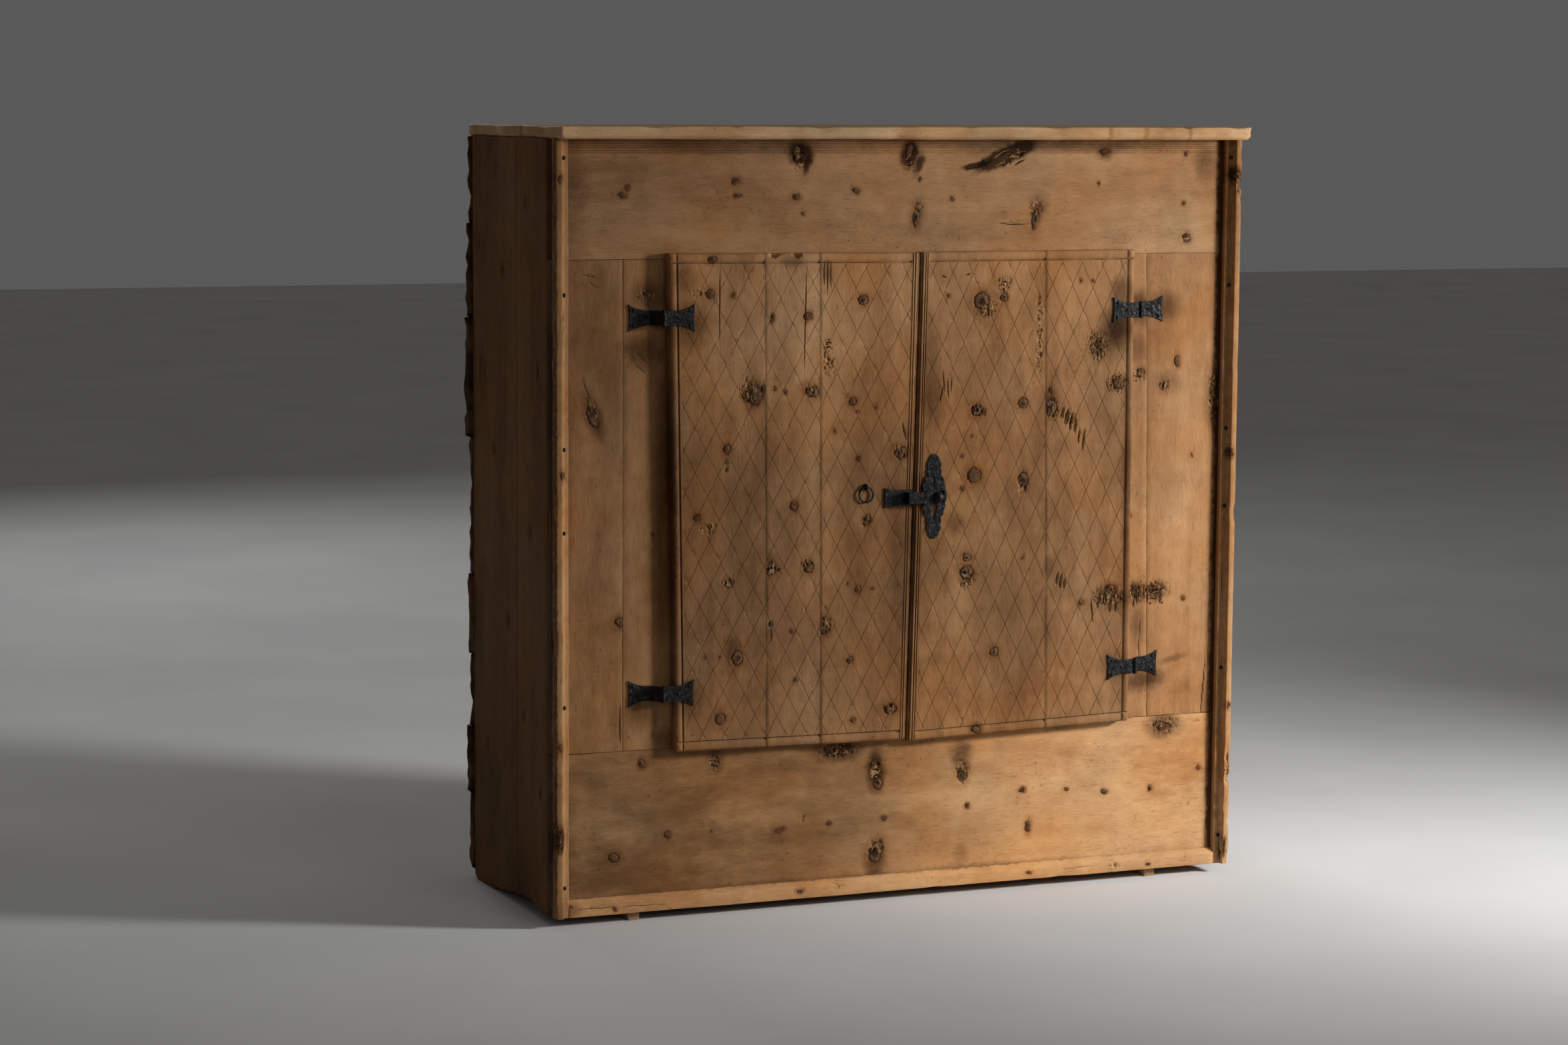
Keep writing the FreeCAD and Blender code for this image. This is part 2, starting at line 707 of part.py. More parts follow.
def staple_holes():
    radius = staple_wire_radius + nail_clearance
    root_y = door_y + staple_root + nail_clearance
    return [rod_y(ring_x, z, radius, door_y - nail_clearance, root_y)
            for z in (ring_z - staple_bend_radius, ring_z + staple_bend_radius)]


# Parts of the case
os.makedirs("parts", exist_ok=True)

for hand, side in (("left", -1), ("right", 1)):
    save(hand + "_side_front_board", side_board(side, frame_back_y, side_joint_y, side_front_foot_shares))
    save(hand + "_side_rear_board", side_board(side, side_joint_y, back_front_y, side_rear_foot_shares))
    strip = sink_moulding_nails(corner_moulding(side), side)
    save(hand + "_corner_moulding", with_moulding_nail_holes(strip, side))

save("corner_moulding_nails", *[nail(x, z, moulding_seat_y, moulding_nail_length)
                                for side in (-1, 1) for x, z in moulding_nail_places(side)])

for index in range(len(back_edge_shares) - 1):
    save("back_board_" + str(index + 1), back_board(index))

top_joint_y = top_front_y + top_front_board_depth
save("top_front_board", top_board(top_front_y, top_joint_y))
save("top_rear_board", top_board(top_joint_y, -top_front_y))

# Front frame
rail_end_x = half_width - top_rail_setback


def frame_board(corners):
    """Board of the front frame with the holes of every nail that reaches it."""
    board = upright_board(corners, panel_y, frame_back_y)
    for side in (-1, 1):
        board = with_moulding_nail_holes(board, side)
    for hand in hinge_axes:
        board = with_nail_holes(board, hinge_places(hand, False), stile_seat_y)
    return board


def rectangle(x0, x1, z0, z1):
    return [(x0, z0), (x1, z0), (x1, z1), (x0, z1)]


save("top_rail", frame_board(rectangle(-rail_end_x, rail_end_x, opening_top_z, case_top_z)))
save("bottom_rail", frame_board(rectangle(-half_width, half_width, base_z, opening_bottom_z)))
left_joint_x = -half_width + left_stile_outer_width
save("left_stile_outer", frame_board(rectangle(-half_width, left_joint_x, opening_bottom_z, opening_top_z)))
save("left_stile_inner", frame_board(rectangle(left_joint_x, opening_left_x, opening_bottom_z, opening_top_z)))
joint_top = (half_width - right_stile_outer_top_width, opening_top_z)
joint_bottom = (half_width - right_stile_outer_bottom_width, opening_bottom_z)
save("right_stile_inner", frame_board([(opening_right_x, opening_bottom_z), joint_bottom, joint_top,
                                       (opening_right_x, opening_top_z)]))
save("right_stile_outer", frame_board([joint_bottom, (half_width, opening_bottom_z),
                                       (half_width, opening_top_z), joint_top]))

base_end_x = half_width - moulding_width
base_front_y = panel_y - base_thickness
base_top_z = base_z + base_height
save("base_moulding", along_x([(panel_y, base_z), (base_front_y, base_z),
                               (base_front_y, base_top_z - base_slope),
                               (panel_y - base_lip, base_top_z), (panel_y, base_top_z)],
                              -base_end_x, base_end_x))

# Floor, shelves and what carries them
floor_z = base_z + floor_height
floor_joint_y = frame_back_y + floor_front_board_depth
floor_top_z = floor_z + floor_thickness
save("floor_front_board", box(-inner_half_width, inner_half_width, frame_back_y, floor_joint_y,
                              floor_z, floor_top_z))
save("floor_rear_board", box(-inner_half_width, inner_half_width, floor_joint_y, back_front_y,
                             floor_z, floor_top_z))
bearer_x = half_width - bearer_inset - bearer_width / 2
save("floor_bearers", *[box(side * bearer_x - bearer_width / 2, side * bearer_x + bearer_width / 2,
                            frame_back_y, back_front_y, base_z, floor_z) for side in (-1, 1)])
block_y = panel_y + block_setback
save("foot_blocks", *[box(side * bearer_x - block_width / 2, side * bearer_x + block_width / 2,
                          block_y, block_y + block_depth, 0, base_z) for side in (-1, 1)])
shelf_y = frame_back_y + shelf_front_setback
cleats = []
for name, share in (("lower", lower_shelf_share), ("upper", upper_shelf_share)):
    z = mid(base_z, case_top_z, share)
    save("shelf_" + name, box(-inner_half_width, inner_half_width, shelf_y, back_front_y,
                              z, z + shelf_thickness))
    for side in (-1, 1):
        inner = side * inner_half_width
        ends = sorted((inner, inner - side * cleat_section))
        cleats.append(box(ends[0], ends[1], back_front_y - cleat_length, back_front_y,
                          z - cleat_section, z))
save("shelf_cleats", *cleats)

# Hinges
stile_nails = []
pins = []
for hand, (axis_x, turn) in hinge_axes.items():
    door_nails = []
    for row, z in hinge_rows:
        save("_".join((hand, row, "stile_leaf")),
             hinge_leaf(axis_x, -turn, z, stile_drop, stile_seat_y, (0, 2)))
        save("_".join((hand, row, "door_leaf")), hinge_leaf(axis_x, turn, z, 0, door_seat_y, (1,)))
        pins.append(hinge_pin(axis_x, z))
    stile_nails += [nail(x, z, stile_seat_y, nail_length) for x, z in hinge_places(hand, False)]
    door_nails += [nail(x, z, door_seat_y, nail_length) for x, z in hinge_places(hand, True)]
    save(hand + "_door_hinge_nails", *door_nails)
save("stile_hinge_nails", *stile_nails)
save("hinge_pins", *pins)

# Doors
for number, plank in enumerate(door_planks(left_door, left_plank_top_shares, left_plank_bottom_shares, 1)):
    drilled = with_nail_holes(plank, hinge_places("left", True), door_seat_y)
    drilled = drilled.cut(Part.makeCompound(staple_holes()))
    save("left_door_plank_" + str(number + 1), drilled)
for number, plank in enumerate(door_planks(right_door, right_plank_top_shares, right_plank_bottom_shares, -1)):
    drilled = with_nail_holes(plank, hinge_places("right", True), door_seat_y)
    save("right_door_plank_" + str(number + 1), drilled.cut(spindle_bore()))
for row, z in hinge_rows:
    meeting_x = on_line(left_door[1], left_door[2], z)
    save("left_door_ledge_" + row, ledge(opening_left_x + ledge_hinge_inset,
                                         meeting_x - ledge_meeting_inset, z))
    meeting_x = on_line(right_door[1], right_door[2], z)
    save("right_door_ledge_" + row, ledge(meeting_x + ledge_meeting_inset,
                                          opening_right_x - ledge_hinge_inset, z))

# Latch and ring
save("latch_plate", latch_plate())
save("latch_bracket", latch_bracket())
save("latch_tongue", latch_tongue())
save("latch_knob", latch_knob())
save("strike_plate", strike_plate())
save("ring_staple", ring_staple())
save("pull_ring", pull_ring())
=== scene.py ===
import bpy
import json
import math
import numpy as np
from mathutils import Matrix, Vector, noise

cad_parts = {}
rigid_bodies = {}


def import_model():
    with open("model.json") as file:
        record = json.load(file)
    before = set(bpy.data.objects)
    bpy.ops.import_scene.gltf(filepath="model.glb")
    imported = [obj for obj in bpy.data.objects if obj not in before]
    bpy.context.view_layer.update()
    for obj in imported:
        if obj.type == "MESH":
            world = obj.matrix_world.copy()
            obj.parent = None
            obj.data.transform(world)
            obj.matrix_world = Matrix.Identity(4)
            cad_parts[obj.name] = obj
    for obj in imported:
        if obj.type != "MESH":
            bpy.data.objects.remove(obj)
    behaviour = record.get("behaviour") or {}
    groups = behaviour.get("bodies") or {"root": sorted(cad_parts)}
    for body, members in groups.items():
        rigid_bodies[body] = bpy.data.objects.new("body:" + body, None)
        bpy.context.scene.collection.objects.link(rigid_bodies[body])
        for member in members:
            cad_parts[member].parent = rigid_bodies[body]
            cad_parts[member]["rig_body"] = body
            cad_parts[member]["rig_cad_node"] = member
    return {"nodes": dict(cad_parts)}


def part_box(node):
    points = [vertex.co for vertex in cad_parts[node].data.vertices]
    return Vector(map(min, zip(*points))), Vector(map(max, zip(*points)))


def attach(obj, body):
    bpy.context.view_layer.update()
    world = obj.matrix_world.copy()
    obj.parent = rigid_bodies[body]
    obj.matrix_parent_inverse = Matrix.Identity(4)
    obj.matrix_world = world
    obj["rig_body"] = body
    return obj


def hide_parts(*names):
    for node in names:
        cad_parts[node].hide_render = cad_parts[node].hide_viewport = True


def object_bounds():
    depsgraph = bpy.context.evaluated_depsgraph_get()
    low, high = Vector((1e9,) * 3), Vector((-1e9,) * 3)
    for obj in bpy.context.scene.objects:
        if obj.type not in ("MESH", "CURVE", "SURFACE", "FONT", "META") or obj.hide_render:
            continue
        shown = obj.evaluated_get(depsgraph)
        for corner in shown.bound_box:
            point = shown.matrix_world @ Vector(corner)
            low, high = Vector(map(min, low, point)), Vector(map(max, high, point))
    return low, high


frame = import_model()
cad_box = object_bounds()


# Sides: two upright pine boards each, butted edge to edge and nailed to the front frame and the
# back.  They are sawn and planed by hand, coloured darker than the front and darkest towards the
# foot, and worn ragged at the foot, where only the rear board still stands on the ground.
def rows(items, name, width=3, kind=float):
    """One measure of every vertex, edge or polygon, a row for each."""
    found = np.empty(len(items) * width, kind)
    items.foreach_get(name, found)
    return found.reshape(-1, width)


def mesh_points(piece):
    return rows(piece.data.vertices, "co")


def set_points(piece, points):
    piece.data.vertices.foreach_set("co", points.ravel())
    piece.data.update()


def edge_ends(piece):
    """Where every edge starts, and where it ends."""
    return mesh_points(piece)[rows(piece.data.edges, "vertices", 2, int)].swapaxes(0, 1)


ELEMENTS = ("vertices", "edges", "polygons")


def pick(piece, kind, chosen):
    """Selects only the chosen vertices, edges or polygons, and opens the piece for editing."""
    bpy.context.view_layer.objects.active = piece
    for sort in ELEMENTS:
        items = getattr(piece.data, sort)
        items.foreach_set("select", chosen if sort == kind else np.zeros(len(items), bool))
    bpy.context.tool_settings.mesh_select_mode = [sort == kind for sort in ELEMENTS]
    bpy.ops.object.mode_set(mode="EDIT")


def close():
    bpy.ops.object.mode_set(mode="OBJECT")


def alone(piece):
    """Selects one piece and nothing else."""
    bpy.ops.object.select_all(action="DESELECT")
    piece.select_set(True)
    bpy.context.view_layer.objects.active = piece


def block(name, low, high):
    """A cube added at a piece's own size and place, its object left at the origin."""
    size = [b - a for a, b in zip(low, high)]
    middle = [(a + b) / 2 for a, b in zip(low, high)]
    bpy.ops.mesh.primitive_cube_add(size=1, location=middle, scale=size)
    piece = bpy.context.object
    piece.name = name
    alone(piece)
    bpy.ops.object.transform_apply(location=True, rotation=True, scale=True)
    return piece


def ease(piece, width, segments=2):
    """Takes the sharpness off every square arris, as years of handling do."""
    pick(piece, "edges", np.zeros(len(piece.data.edges), bool))
    bpy.ops.mesh.edges_select_sharp(sharpness=math.radians(40))
    bpy.ops.mesh.bevel(offset=width, segments=segments, affect="EDGES")
    close()


def divide(piece, *pitches):
    """Cuts every edge that runs along an axis, right round the piece; a pitch is an axis and a length."""
    for axis, pitch in pitches:
        starts, ends = edge_ends(piece)
        runs = ends - starts
        lengths = np.linalg.norm(runs, axis=1)
        chosen = (np.abs(runs[:, axis]) > 0.98 * lengths) & (lengths > pitch * 1.2)
        if chosen.any():
            cuts = int(round(lengths[chosen].max() / pitch)) - 1
            pick(piece, "edges", chosen)
            bpy.ops.mesh.subdivide(number_cuts=max(cuts, 1))
            close()


def modify(piece, kind, **settings):
    """Adds a modifier to a piece and applies it."""
    bpy.context.view_layer.objects.active = piece
    bpy.ops.object.modifier_add(type=kind)
    added = piece.modifiers[-1]
    for name, value in settings.items():
        setattr(added, name, value)
    bpy.ops.object.modifier_apply(modifier=added.name)


def weather(piece, *waves):
    """Hand-planed unevenness: the surface rises and sinks by soft clouds, each with a depth and a spread."""
    for depth, spread in waves:
        cloud = bpy.data.textures.new(piece.name + "_wear", "CLOUDS")
        cloud.noise_scale = spread
        cloud.noise_depth = 3
        modify(piece, "DISPLACE", texture=cloud, texture_coords="LOCAL", strength=depth, mid_level=0.5)


def sawn_board(name, low, high, pitch, arris=0.0014, depth=0.0012, spread=0.05):
    board = block(name, low, high)
    ease(board, arris)
    divide(board, *((axis, min(pitch, (high[axis] - low[axis]) / 3)) for axis in range(3)))
    weather(board, (depth, spread), (depth * 1.2, spread * 7))
    return board


def plug(node, values):
    """Links or sets the inputs of a shader node."""
    for name, value in values.items():
        if isinstance(value, Paint):
            value.tree.links.new(value.socket, node.inputs[name])
        else:
            tinted = node.inputs[name].type == "RGBA"
            node.inputs[name].default_value = (*value, 1) if tinted else value


class Paint:
    """One value or colour of a material's nodes; arithmetic on it adds Math nodes."""

    def __init__(self, tree, socket):
        self.tree = tree
        self.socket = socket

    def node(self, kind, settings, sockets, output=0):
        made = self.tree.nodes.new("ShaderNode" + kind)
        for name, value in settings.items():
            setattr(made, name, value)
        plug(made, sockets)
        return Paint(self.tree, made.outputs[output])

    def math(self, operation, *values):
        return self.node("Math", {"operation": operation}, dict(enumerate(values)))

    def __add__(self, other):
        return self.math("ADD", self, other)

    __radd__ = __add__

    def __sub__(self, other):
        return self.math("SUBTRACT", self, other)

    def __mul__(self, other):
        return self.math("MULTIPLY", self, other)

    def __truediv__(self, other):
        return self.math("DIVIDE", self, other)

    def __pow__(self, other):
        return self.math("POWER", self, other)

    def step(self, low, high, start=0.0, end=1.0):
        """Smooth step from start at low to end at high."""
        return self.node("MapRange", {"interpolation_type": "SMOOTHSTEP"},
                         {0: self, 1: low, 2: high, 3: start, 4: end})

    def vector(self, operation, *values, output=0):
        return self.node("VectorMath", {"operation": operation}, dict(enumerate((self, *values))), output)

    def scaled(self, x, y, z):
        return self.vector("MULTIPLY", (x, y, z))

    def moved(self, other):
        return self.vector("ADD", other)

    def length(self):
        return self.vector("LENGTH", output=1)

    def parts(self):
        split = self.node("SeparateXYZ", {}, {0: self})
        outputs = split.socket.node.outputs
        return [Paint(self.tree, outputs[index]) for index in range(3)]

    def noise(self, scale, detail=2.0, rough=0.5):
        return self.node("TexNoise", {}, {"Vector": self, "Scale": scale, "Detail": detail, "Roughness": rough})

    def ramp(self, *stops):
        """A colour that runs through stops, each a value and a colour."""
        made = self.node("ValToRGB", {}, {0: self})
        elements = made.socket.node.color_ramp.elements
        while len(elements) < len(stops):
            elements.new(0.5)
        for element, (place, colour) in zip(elements, stops):
            element.position = place
            element.color = (*colour, 1)
        return made

    def over(self, colour, amount, blend="MIX"):
        """This colour with another laid over it by amount."""
        return self.node("Mix", {"data_type": "RGBA", "blend_type": blend}, {0: amount, 6: self, 7: colour}, 2)

    def times(self, colour, amount):
        return self.over(colour, amount, "MULTIPLY")

    def bumped(self, depth):
        return self.node("Bump", {}, {"Strength": 0.6, "Distance": depth, "Height": self})


def new_finish(name):
    """A bare material, the paint of its Object coordinates, and its shader."""
    finish = bpy.data.materials.new(name)
    finish.use_nodes = True
    tree = finish.node_tree
    place = tree.nodes.new("ShaderNodeTexCoord")
    return finish, Paint(tree, place.outputs["Object"]), tree.nodes["Principled BSDF"]


def mark(x, z, wide, high=None, turn=0):
    """A mark on a face: its place and two radii in mm, and its turn; one radius alone makes it round."""
    return x, z, wide, high or wide, turn


FAR = 1000.0


def oval(place, spot, face):
    """A place measured from a mark's centre in its own radii."""
    across, up, wide, high, turn = spot
    middle, radii, spin = [across, up], [wide, high], [0.0, 0.0, 0.0]
    middle.insert(face, 0)
    radii.insert(face, FAR)
    spin[face] = math.radians(turn)
    return place.node("Mapping", {"vector_type": "TEXTURE"},
                      {"Vector": place, "Location": [value / 1000 for value in middle],
                       "Rotation": spin, "Scale": [value / 1000 for value in radii]})


def nearer(found, distance):
    return distance if found is None else found.math("MINIMUM", found, distance)


HONEY = ((0.120, 0.053, 0.021), (0.333, 0.168, 0.072), (0.545, 0.314, 0.152))
RING_WIDTH = 0.0042
WARM, COOL, GRIME = (1.0, 0.86, 0.69), (0.86, 0.92, 1.0), (0.46, 0.37, 0.29)
# The first colour darkens real stains, and also painted shade and painted shadow.
STAIN_AND_SHADE, HALO = (0.15, 0.12, 0.10), (0.66, 0.53, 0.42)
KNOT = ((0.3, (0.024, 0.012, 0.007)), (0.50, (0.095, 0.046, 0.022)), (0.70, (0.225, 0.126, 0.066)))
PITCH, RIM, HOLE = (0.012, 0.007, 0.005), (0.020, 0.011, 0.007), (0.016, 0.009, 0.006)
TORN_DARK, TORN_PALE = (0.040, 0.020, 0.010), (0.52, 0.305, 0.150)
# The painted shade on one wall of a gouge, and the paler fresh-cut wood.
CUT_SHADE, CUT_PALE = (0.014, 0.007, 0.004), (0.50, 0.285, 0.133)
SCORE_DIRT = (0.034, 0.017, 0.009)


def pine(name, run, face, heart, tones=HONEY, knots=(), stains_and_shade=(), gouges=(), torn=(), scored=False, grime=0.5):
    """Old waxed pine: growth rings round a heart, fibres along the run, knots that turn the grain, stain marks,
    torn patches and gouges at their own places, flight holes, and dark dirt in what is scored.  Some stain
    marks are painted shade and painted shadow, and one wall of each gouge is painted shade.
    A stain is its strength and then its mark."""
    finish, place, shader = new_finish(name)
    across = 3 - run - face
    upright = across == 0 or face == 0
    knots, gouges, torn = [[mark(*spot) for spot in spots] for spots in (knots, gouges, torn)]

    def stretched(fine, along):
        scale = [fine, fine, fine]
        scale[run] = along
        return place.scaled(*scale)

    coords = place.parts()
    sway = stretched(6.0, 1.1)
    side = coords[across] + (sway.noise(1.0, 3.0, 0.55) - 0.5) * 0.055 - heart[0]
    deep = coords[face] + (sway.moved((4.0, 1.0, 6.0)).noise(1.0, 2.0) - 0.5) * 0.045 - heart[1]
    shiver = place.node("CombineXYZ", {}, {
        across: (place.noise(85.0, 3.0, 0.6) - 0.5) * 0.013,
        run: (place.moved((2.0, 5.0, 8.0)).noise(85.0, 3.0, 0.6) - 0.5) * 0.013})
    ripple = place.moved(shiver)
    near = None
    for spot in knots:
        local = oval(ripple, spot, face)
        distance = local.length()
        near = nearer(near, distance)
        pull = (distance ** 2 * -0.3).math("EXPONENT")
        side = side - local.parts()[across] * (pull * (0.8 * spot[2 if upright else 3] / 1000))
    turn = ((side * side + deep * deep) ** 0.5 / RING_WIDTH).math("FRACT")
    late = turn.step(0.35, 0.9) * turn.step(1.0, 0.93)
    fibre = stretched(820.0, 52.0).noise(1.0, 3.0, 0.65)
    ticks = stretched(330.0, 40.0).noise(1.0, 2.0, 0.5).step(0.60, 0.74)
    streak = stretched(48.0, 3.6).noise(1.0, 4.0, 0.6)
    broad = stretched(9.0, 1.4).noise(1.0, 3.0, 0.5)
    soft = stretched(1.0, 0.4)
    cloud = soft.noise(9.5, 5.0, 0.6)
    mottle = place.noise(30.0, 4.0, 0.6)
    flecks = place.noise(190.0, 3.0, 0.6).step(0.60, 0.72) * place.noise(14.0, 3.0).step(0.42, 0.66)
    light = (0.51 + (streak - 0.5) * 0.28 + (broad - 0.5) * 0.62 + (cloud - 0.5) * 0.5 + (mottle - 0.5) * 0.36
             - (late - 0.3) * 0.24 + (fibre - 0.5) * 0.52 - ticks * 0.14 - flecks * 0.34)
    colour = light.ramp((0.05, tones[0]), (0.5, tones[1]), (0.95, tones[2]))
    glow = place.moved((3.0, 7.0, 1.0)).noise(6.3, 3.0)
    colour = colour.times(WARM, glow.step(0.44, 0.66, 0.0, 0.7))
    colour = colour.times(COOL, glow.step(0.46, 0.30, 0.0, 0.5))
    haze = soft.moved((11.0, 2.0, 5.0)).noise(12.0, 6.0, 0.68)
    colour = colour.times(GRIME, haze.step(0.50, 0.76, 0.0, grime))
    bump = fibre * 0.20 + late * 0.12 + mottle * 0.4 - ticks * 0.2
    rough = 0.50 + (cloud - 0.5) * 0.4 + (fibre - 0.5) * 0.2
    grit = place.noise(330.0, 4.0, 0.7)
    # Each stain mark darkens the wood towards one dark colour: some are real stains, others painted shade and
    # painted shadow in recesses, beside mouldings, under overhangs and along shaded edges.
    for strength, *spot in stains_and_shade:
        reach = oval(ripple, mark(*spot), face).length().step(0.25, 1.0, strength, 0.0)
        colour = colour.times(STAIN_AND_SHADE, reach * haze.step(0.32, 0.58, 0.6, 1.0))
    if knots:
        tint = place.noise(26.0, 0.0)
        colour = colour.times(HALO, near.step(2.6, 0.9) * streak.step(0.3, 0.6, 0.4, 0.9))
        ragged = near + (grit - 0.5) * 0.5
        colour = colour.over((grit * 0.7 + tint * 0.35).ramp(*KNOT), ragged.step(1.05, 0.78, 0.0, 0.94))
        colour = colour.over(PITCH, ragged.step(0.70, 0.35, 0.0, 0.85) * tint.step(0.46, 0.60))
        rim = near.step(0.76, 0.94) * near.step(1.16, 0.98)
        colour = colour.over(RIM, rim * grit.step(0.38, 0.60, 0.15, 0.9))
        bump = bump - rim * 1.2 + ragged.step(1.0, 0.5) * grit * 1.6
        rough = rough + ragged.step(1.0, 0.6, 0.0, 0.12)
    if torn:
        patch = None
        for spot in torn:
            patch = nearer(patch, oval(ripple, spot, face).length())
        patch = (patch + (mottle - 0.5) * 1.2).step(1.1, 0.45)
        shred = (grit - 0.5) * 0.8 + (stretched(190.0, 70.0).noise(1.0, 4.0, 0.65) - 0.5) * 3.0
        colour = colour.over(TORN_DARK, patch * shred.step(0.10, 0.60, 0.0, 0.8))
        colour = colour.over(TORN_PALE, patch * shred.step(-0.05, -0.45, 0.0, 0.75))
        bump = bump + patch * shred * 2.2
        rough = rough + patch * 0.2
    if gouges:
        jag = place.moved(shiver.scaled(0.35, 0.35, 0.35))
        cut = shaded = None
        for spot in gouges:
            local = oval(jag, spot, face)
            distance = local.length()
            cut = nearer(cut, distance)
            narrow = local.parts()[across if (spot[2] < spot[3]) == upright else run]
            shaded = nearer(shaded, distance + narrow.step(-0.2, 0.5) * 0.75)
        # Each gouge is paler fresh-cut wood, and painted shade darkens one of its two walls.
        colour = colour.over(CUT_PALE, cut.step(1.1, 0.75, 0.0, 0.7))
        colour = colour.over(CUT_SHADE, shaded.step(1.15, 0.7) * 0.95)
    holes = place.node("TexVoronoi", {}, {"Vector": place, "Scale": 27.0})
    holes = holes.step(0.034, 0.016) * streak.step(0.50, 0.54)
    colour = colour.over(HOLE, holes * 0.92)
    bump = bump - holes * 2.0
    if scored:
        line = place.node("Attribute", {"attribute_name": "score"}, {}, 2)
        worn_line = place.moved((5.0, 1.0, 9.0)).noise(26.0, 3.0, 0.6).step(0.30, 0.62, 0.25, 0.95)
        colour = colour.over(SCORE_DIRT, line * worn_line)
        rough = rough + line * 0.15
    plug(shader, {"Base Color": colour, "Roughness": rough, "Normal": bump.bumped(0.0012),
                  "Specular IOR Level": 0.03})
    return finish


def fit(piece, node, body, finish, smooth=35):
    """Puts a finished piece in the frame, inside the CAD box, with its finish and its body, and hides the CAD
    node it stands for.
    """
    set_points(piece, np.clip(mesh_points(piece), *cad_box))
    piece.data.materials.clear()
    piece.data.materials.append(finish)
    alone(piece)
    bpy.ops.object.shade_smooth_by_angle(angle=math.radians(smooth))
    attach(piece, body)
    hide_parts(node)


def worn_foot(piece, outline):
    """Raises the lower end of an upright side board to a ragged outline of y and height in mm."""
    points = mesh_points(piece)
    low = points[:, 2].min()
    foot = np.interp(points[:, 1] * 1000, *zip(*outline)) / 1000 + 0.002 * np.sin(points[:, 1] * 140)
    near = np.clip(1 - (points[:, 2] - low) / 0.12, 0, 1)
    points[:, 2] += (np.maximum(foot, 0.0) - low) * near
    set_points(piece, points)


HANDS = (("left", -1), ("right", 1))
FOOT = {"front": ((-165, 16), (-114, 16), (-74, 24), (-18, 20)),
        "rear": ((-18, 20), (47, 13), (117, 4), (155, 0), (214, 0), (222, 9))}
SIDE_TONES = ((0.067, 0.029, 0.011), (0.186, 0.088, 0.033), (0.333, 0.168, 0.069))
# Darkening of the side boards: a patch near the foot, the whole face darker towards the foot, and a patch high
# at the front.
SIDE_DARKENING = ((0.55, -60, 60, 130, 110), (0.6, 0, 0, 4000, 1000), (0.4, -140, 1240, 60, 80))
SIDE_KNOTS = {
    "left": (
        (-60, 1180, 7, 9), (-120, 905, 6, 9), (-80, 640, 8, 10), (-48, 330, 6, 8), (-130, 210, 5, 7),
        (60, 1065, 8, 11), (110, 760, 7, 9), (35, 480, 9, 12), (150, 250, 6, 9), (180, 905, 5, 7)),
    "right": (
        (-70, 1110, 8, 10), (-110, 700, 6, 9), (-60, 400, 9, 11), (80, 1200, 7, 9), (40, 880, 8, 12),
        (140, 560, 9, 11), (70, 180, 7, 9))}
for hand, sign in HANDS:
    shade = pine(hand + "_side_pine", 2, 0, (0.02, sign * 0.52), SIDE_TONES, SIDE_KNOTS[hand], SIDE_DARKENING,
                 grime=0.8)
    for part in ("front", "rear"):
        node = f"{hand}_side_{part}_board"
        side_board = sawn_board(node + "_planed", *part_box(node), 0.012)
        worn_foot(side_board, FOOT[part])
        fit(side_board, node, "carcass", shade)


# Front frame: a wide top rail and bottom rail with upright stiles of two boards each between them,
# pine planed by hand and nailed to the sides.  The rails' grain runs across, the stiles' runs up.
FACING = -0.8
SMALL_KNOT = 4


def cut_lines(piece, axis, places, inside=None):
    """Divides the front face along straight lines: axis is their normal in x and z, places their distances."""
    front = rows(piece.data.polygons, "normal")[:, 1] < FACING
    if inside is not None:
        front &= inside(rows(piece.data.polygons, "center"))
    pick(piece, "polygons", front)
    bpy.ops.mesh.hide(unselected=True)
    normal = Vector((axis[0], 0, axis[1]))
    for place in places:
        bpy.ops.mesh.select_all(action="SELECT")
        bpy.ops.mesh.bisect(plane_co=normal * place, plane_no=normal)
    bpy.ops.mesh.reveal(select=False)
    close()


def mark_score(piece, values):
    """Keeps how much dirt lies in the scored lines, for the finish to read."""
    marks = piece.data.attributes.get("score") or piece.data.attributes.new("score", "FLOAT", "POINT")
    kept = np.zeros(len(piece.data.vertices))
    marks.data.foreach_get("value", kept)
    marks.data.foreach_set("value", np.maximum(kept, values))


def scratch(piece, axis, places, half, depth, dirt=1.0, inside=None):
    """Scores fine lines in a front face: each is cut in three, and its middle pushed in and marked."""
    cut_lines(piece, axis, [place + offset for place in places for offset in (-half, 0.0, half)], inside)
    points = mesh_points(piece)
    across = points[:, 0] * axis[0] + points[:, 2] * axis[1]
    gap = np.min(np.abs(across[:, None] - np.array(places)[None, :]), axis=1)
    middle = (gap < half * 0.05) & (rows(piece.data.vertices, "normal")[:, 1] < -0.6)
    if inside is not None:
        middle &= inside(points)
    points[middle, 1] += depth
    set_points(piece, points)
    mark_score(piece, middle * dirt)


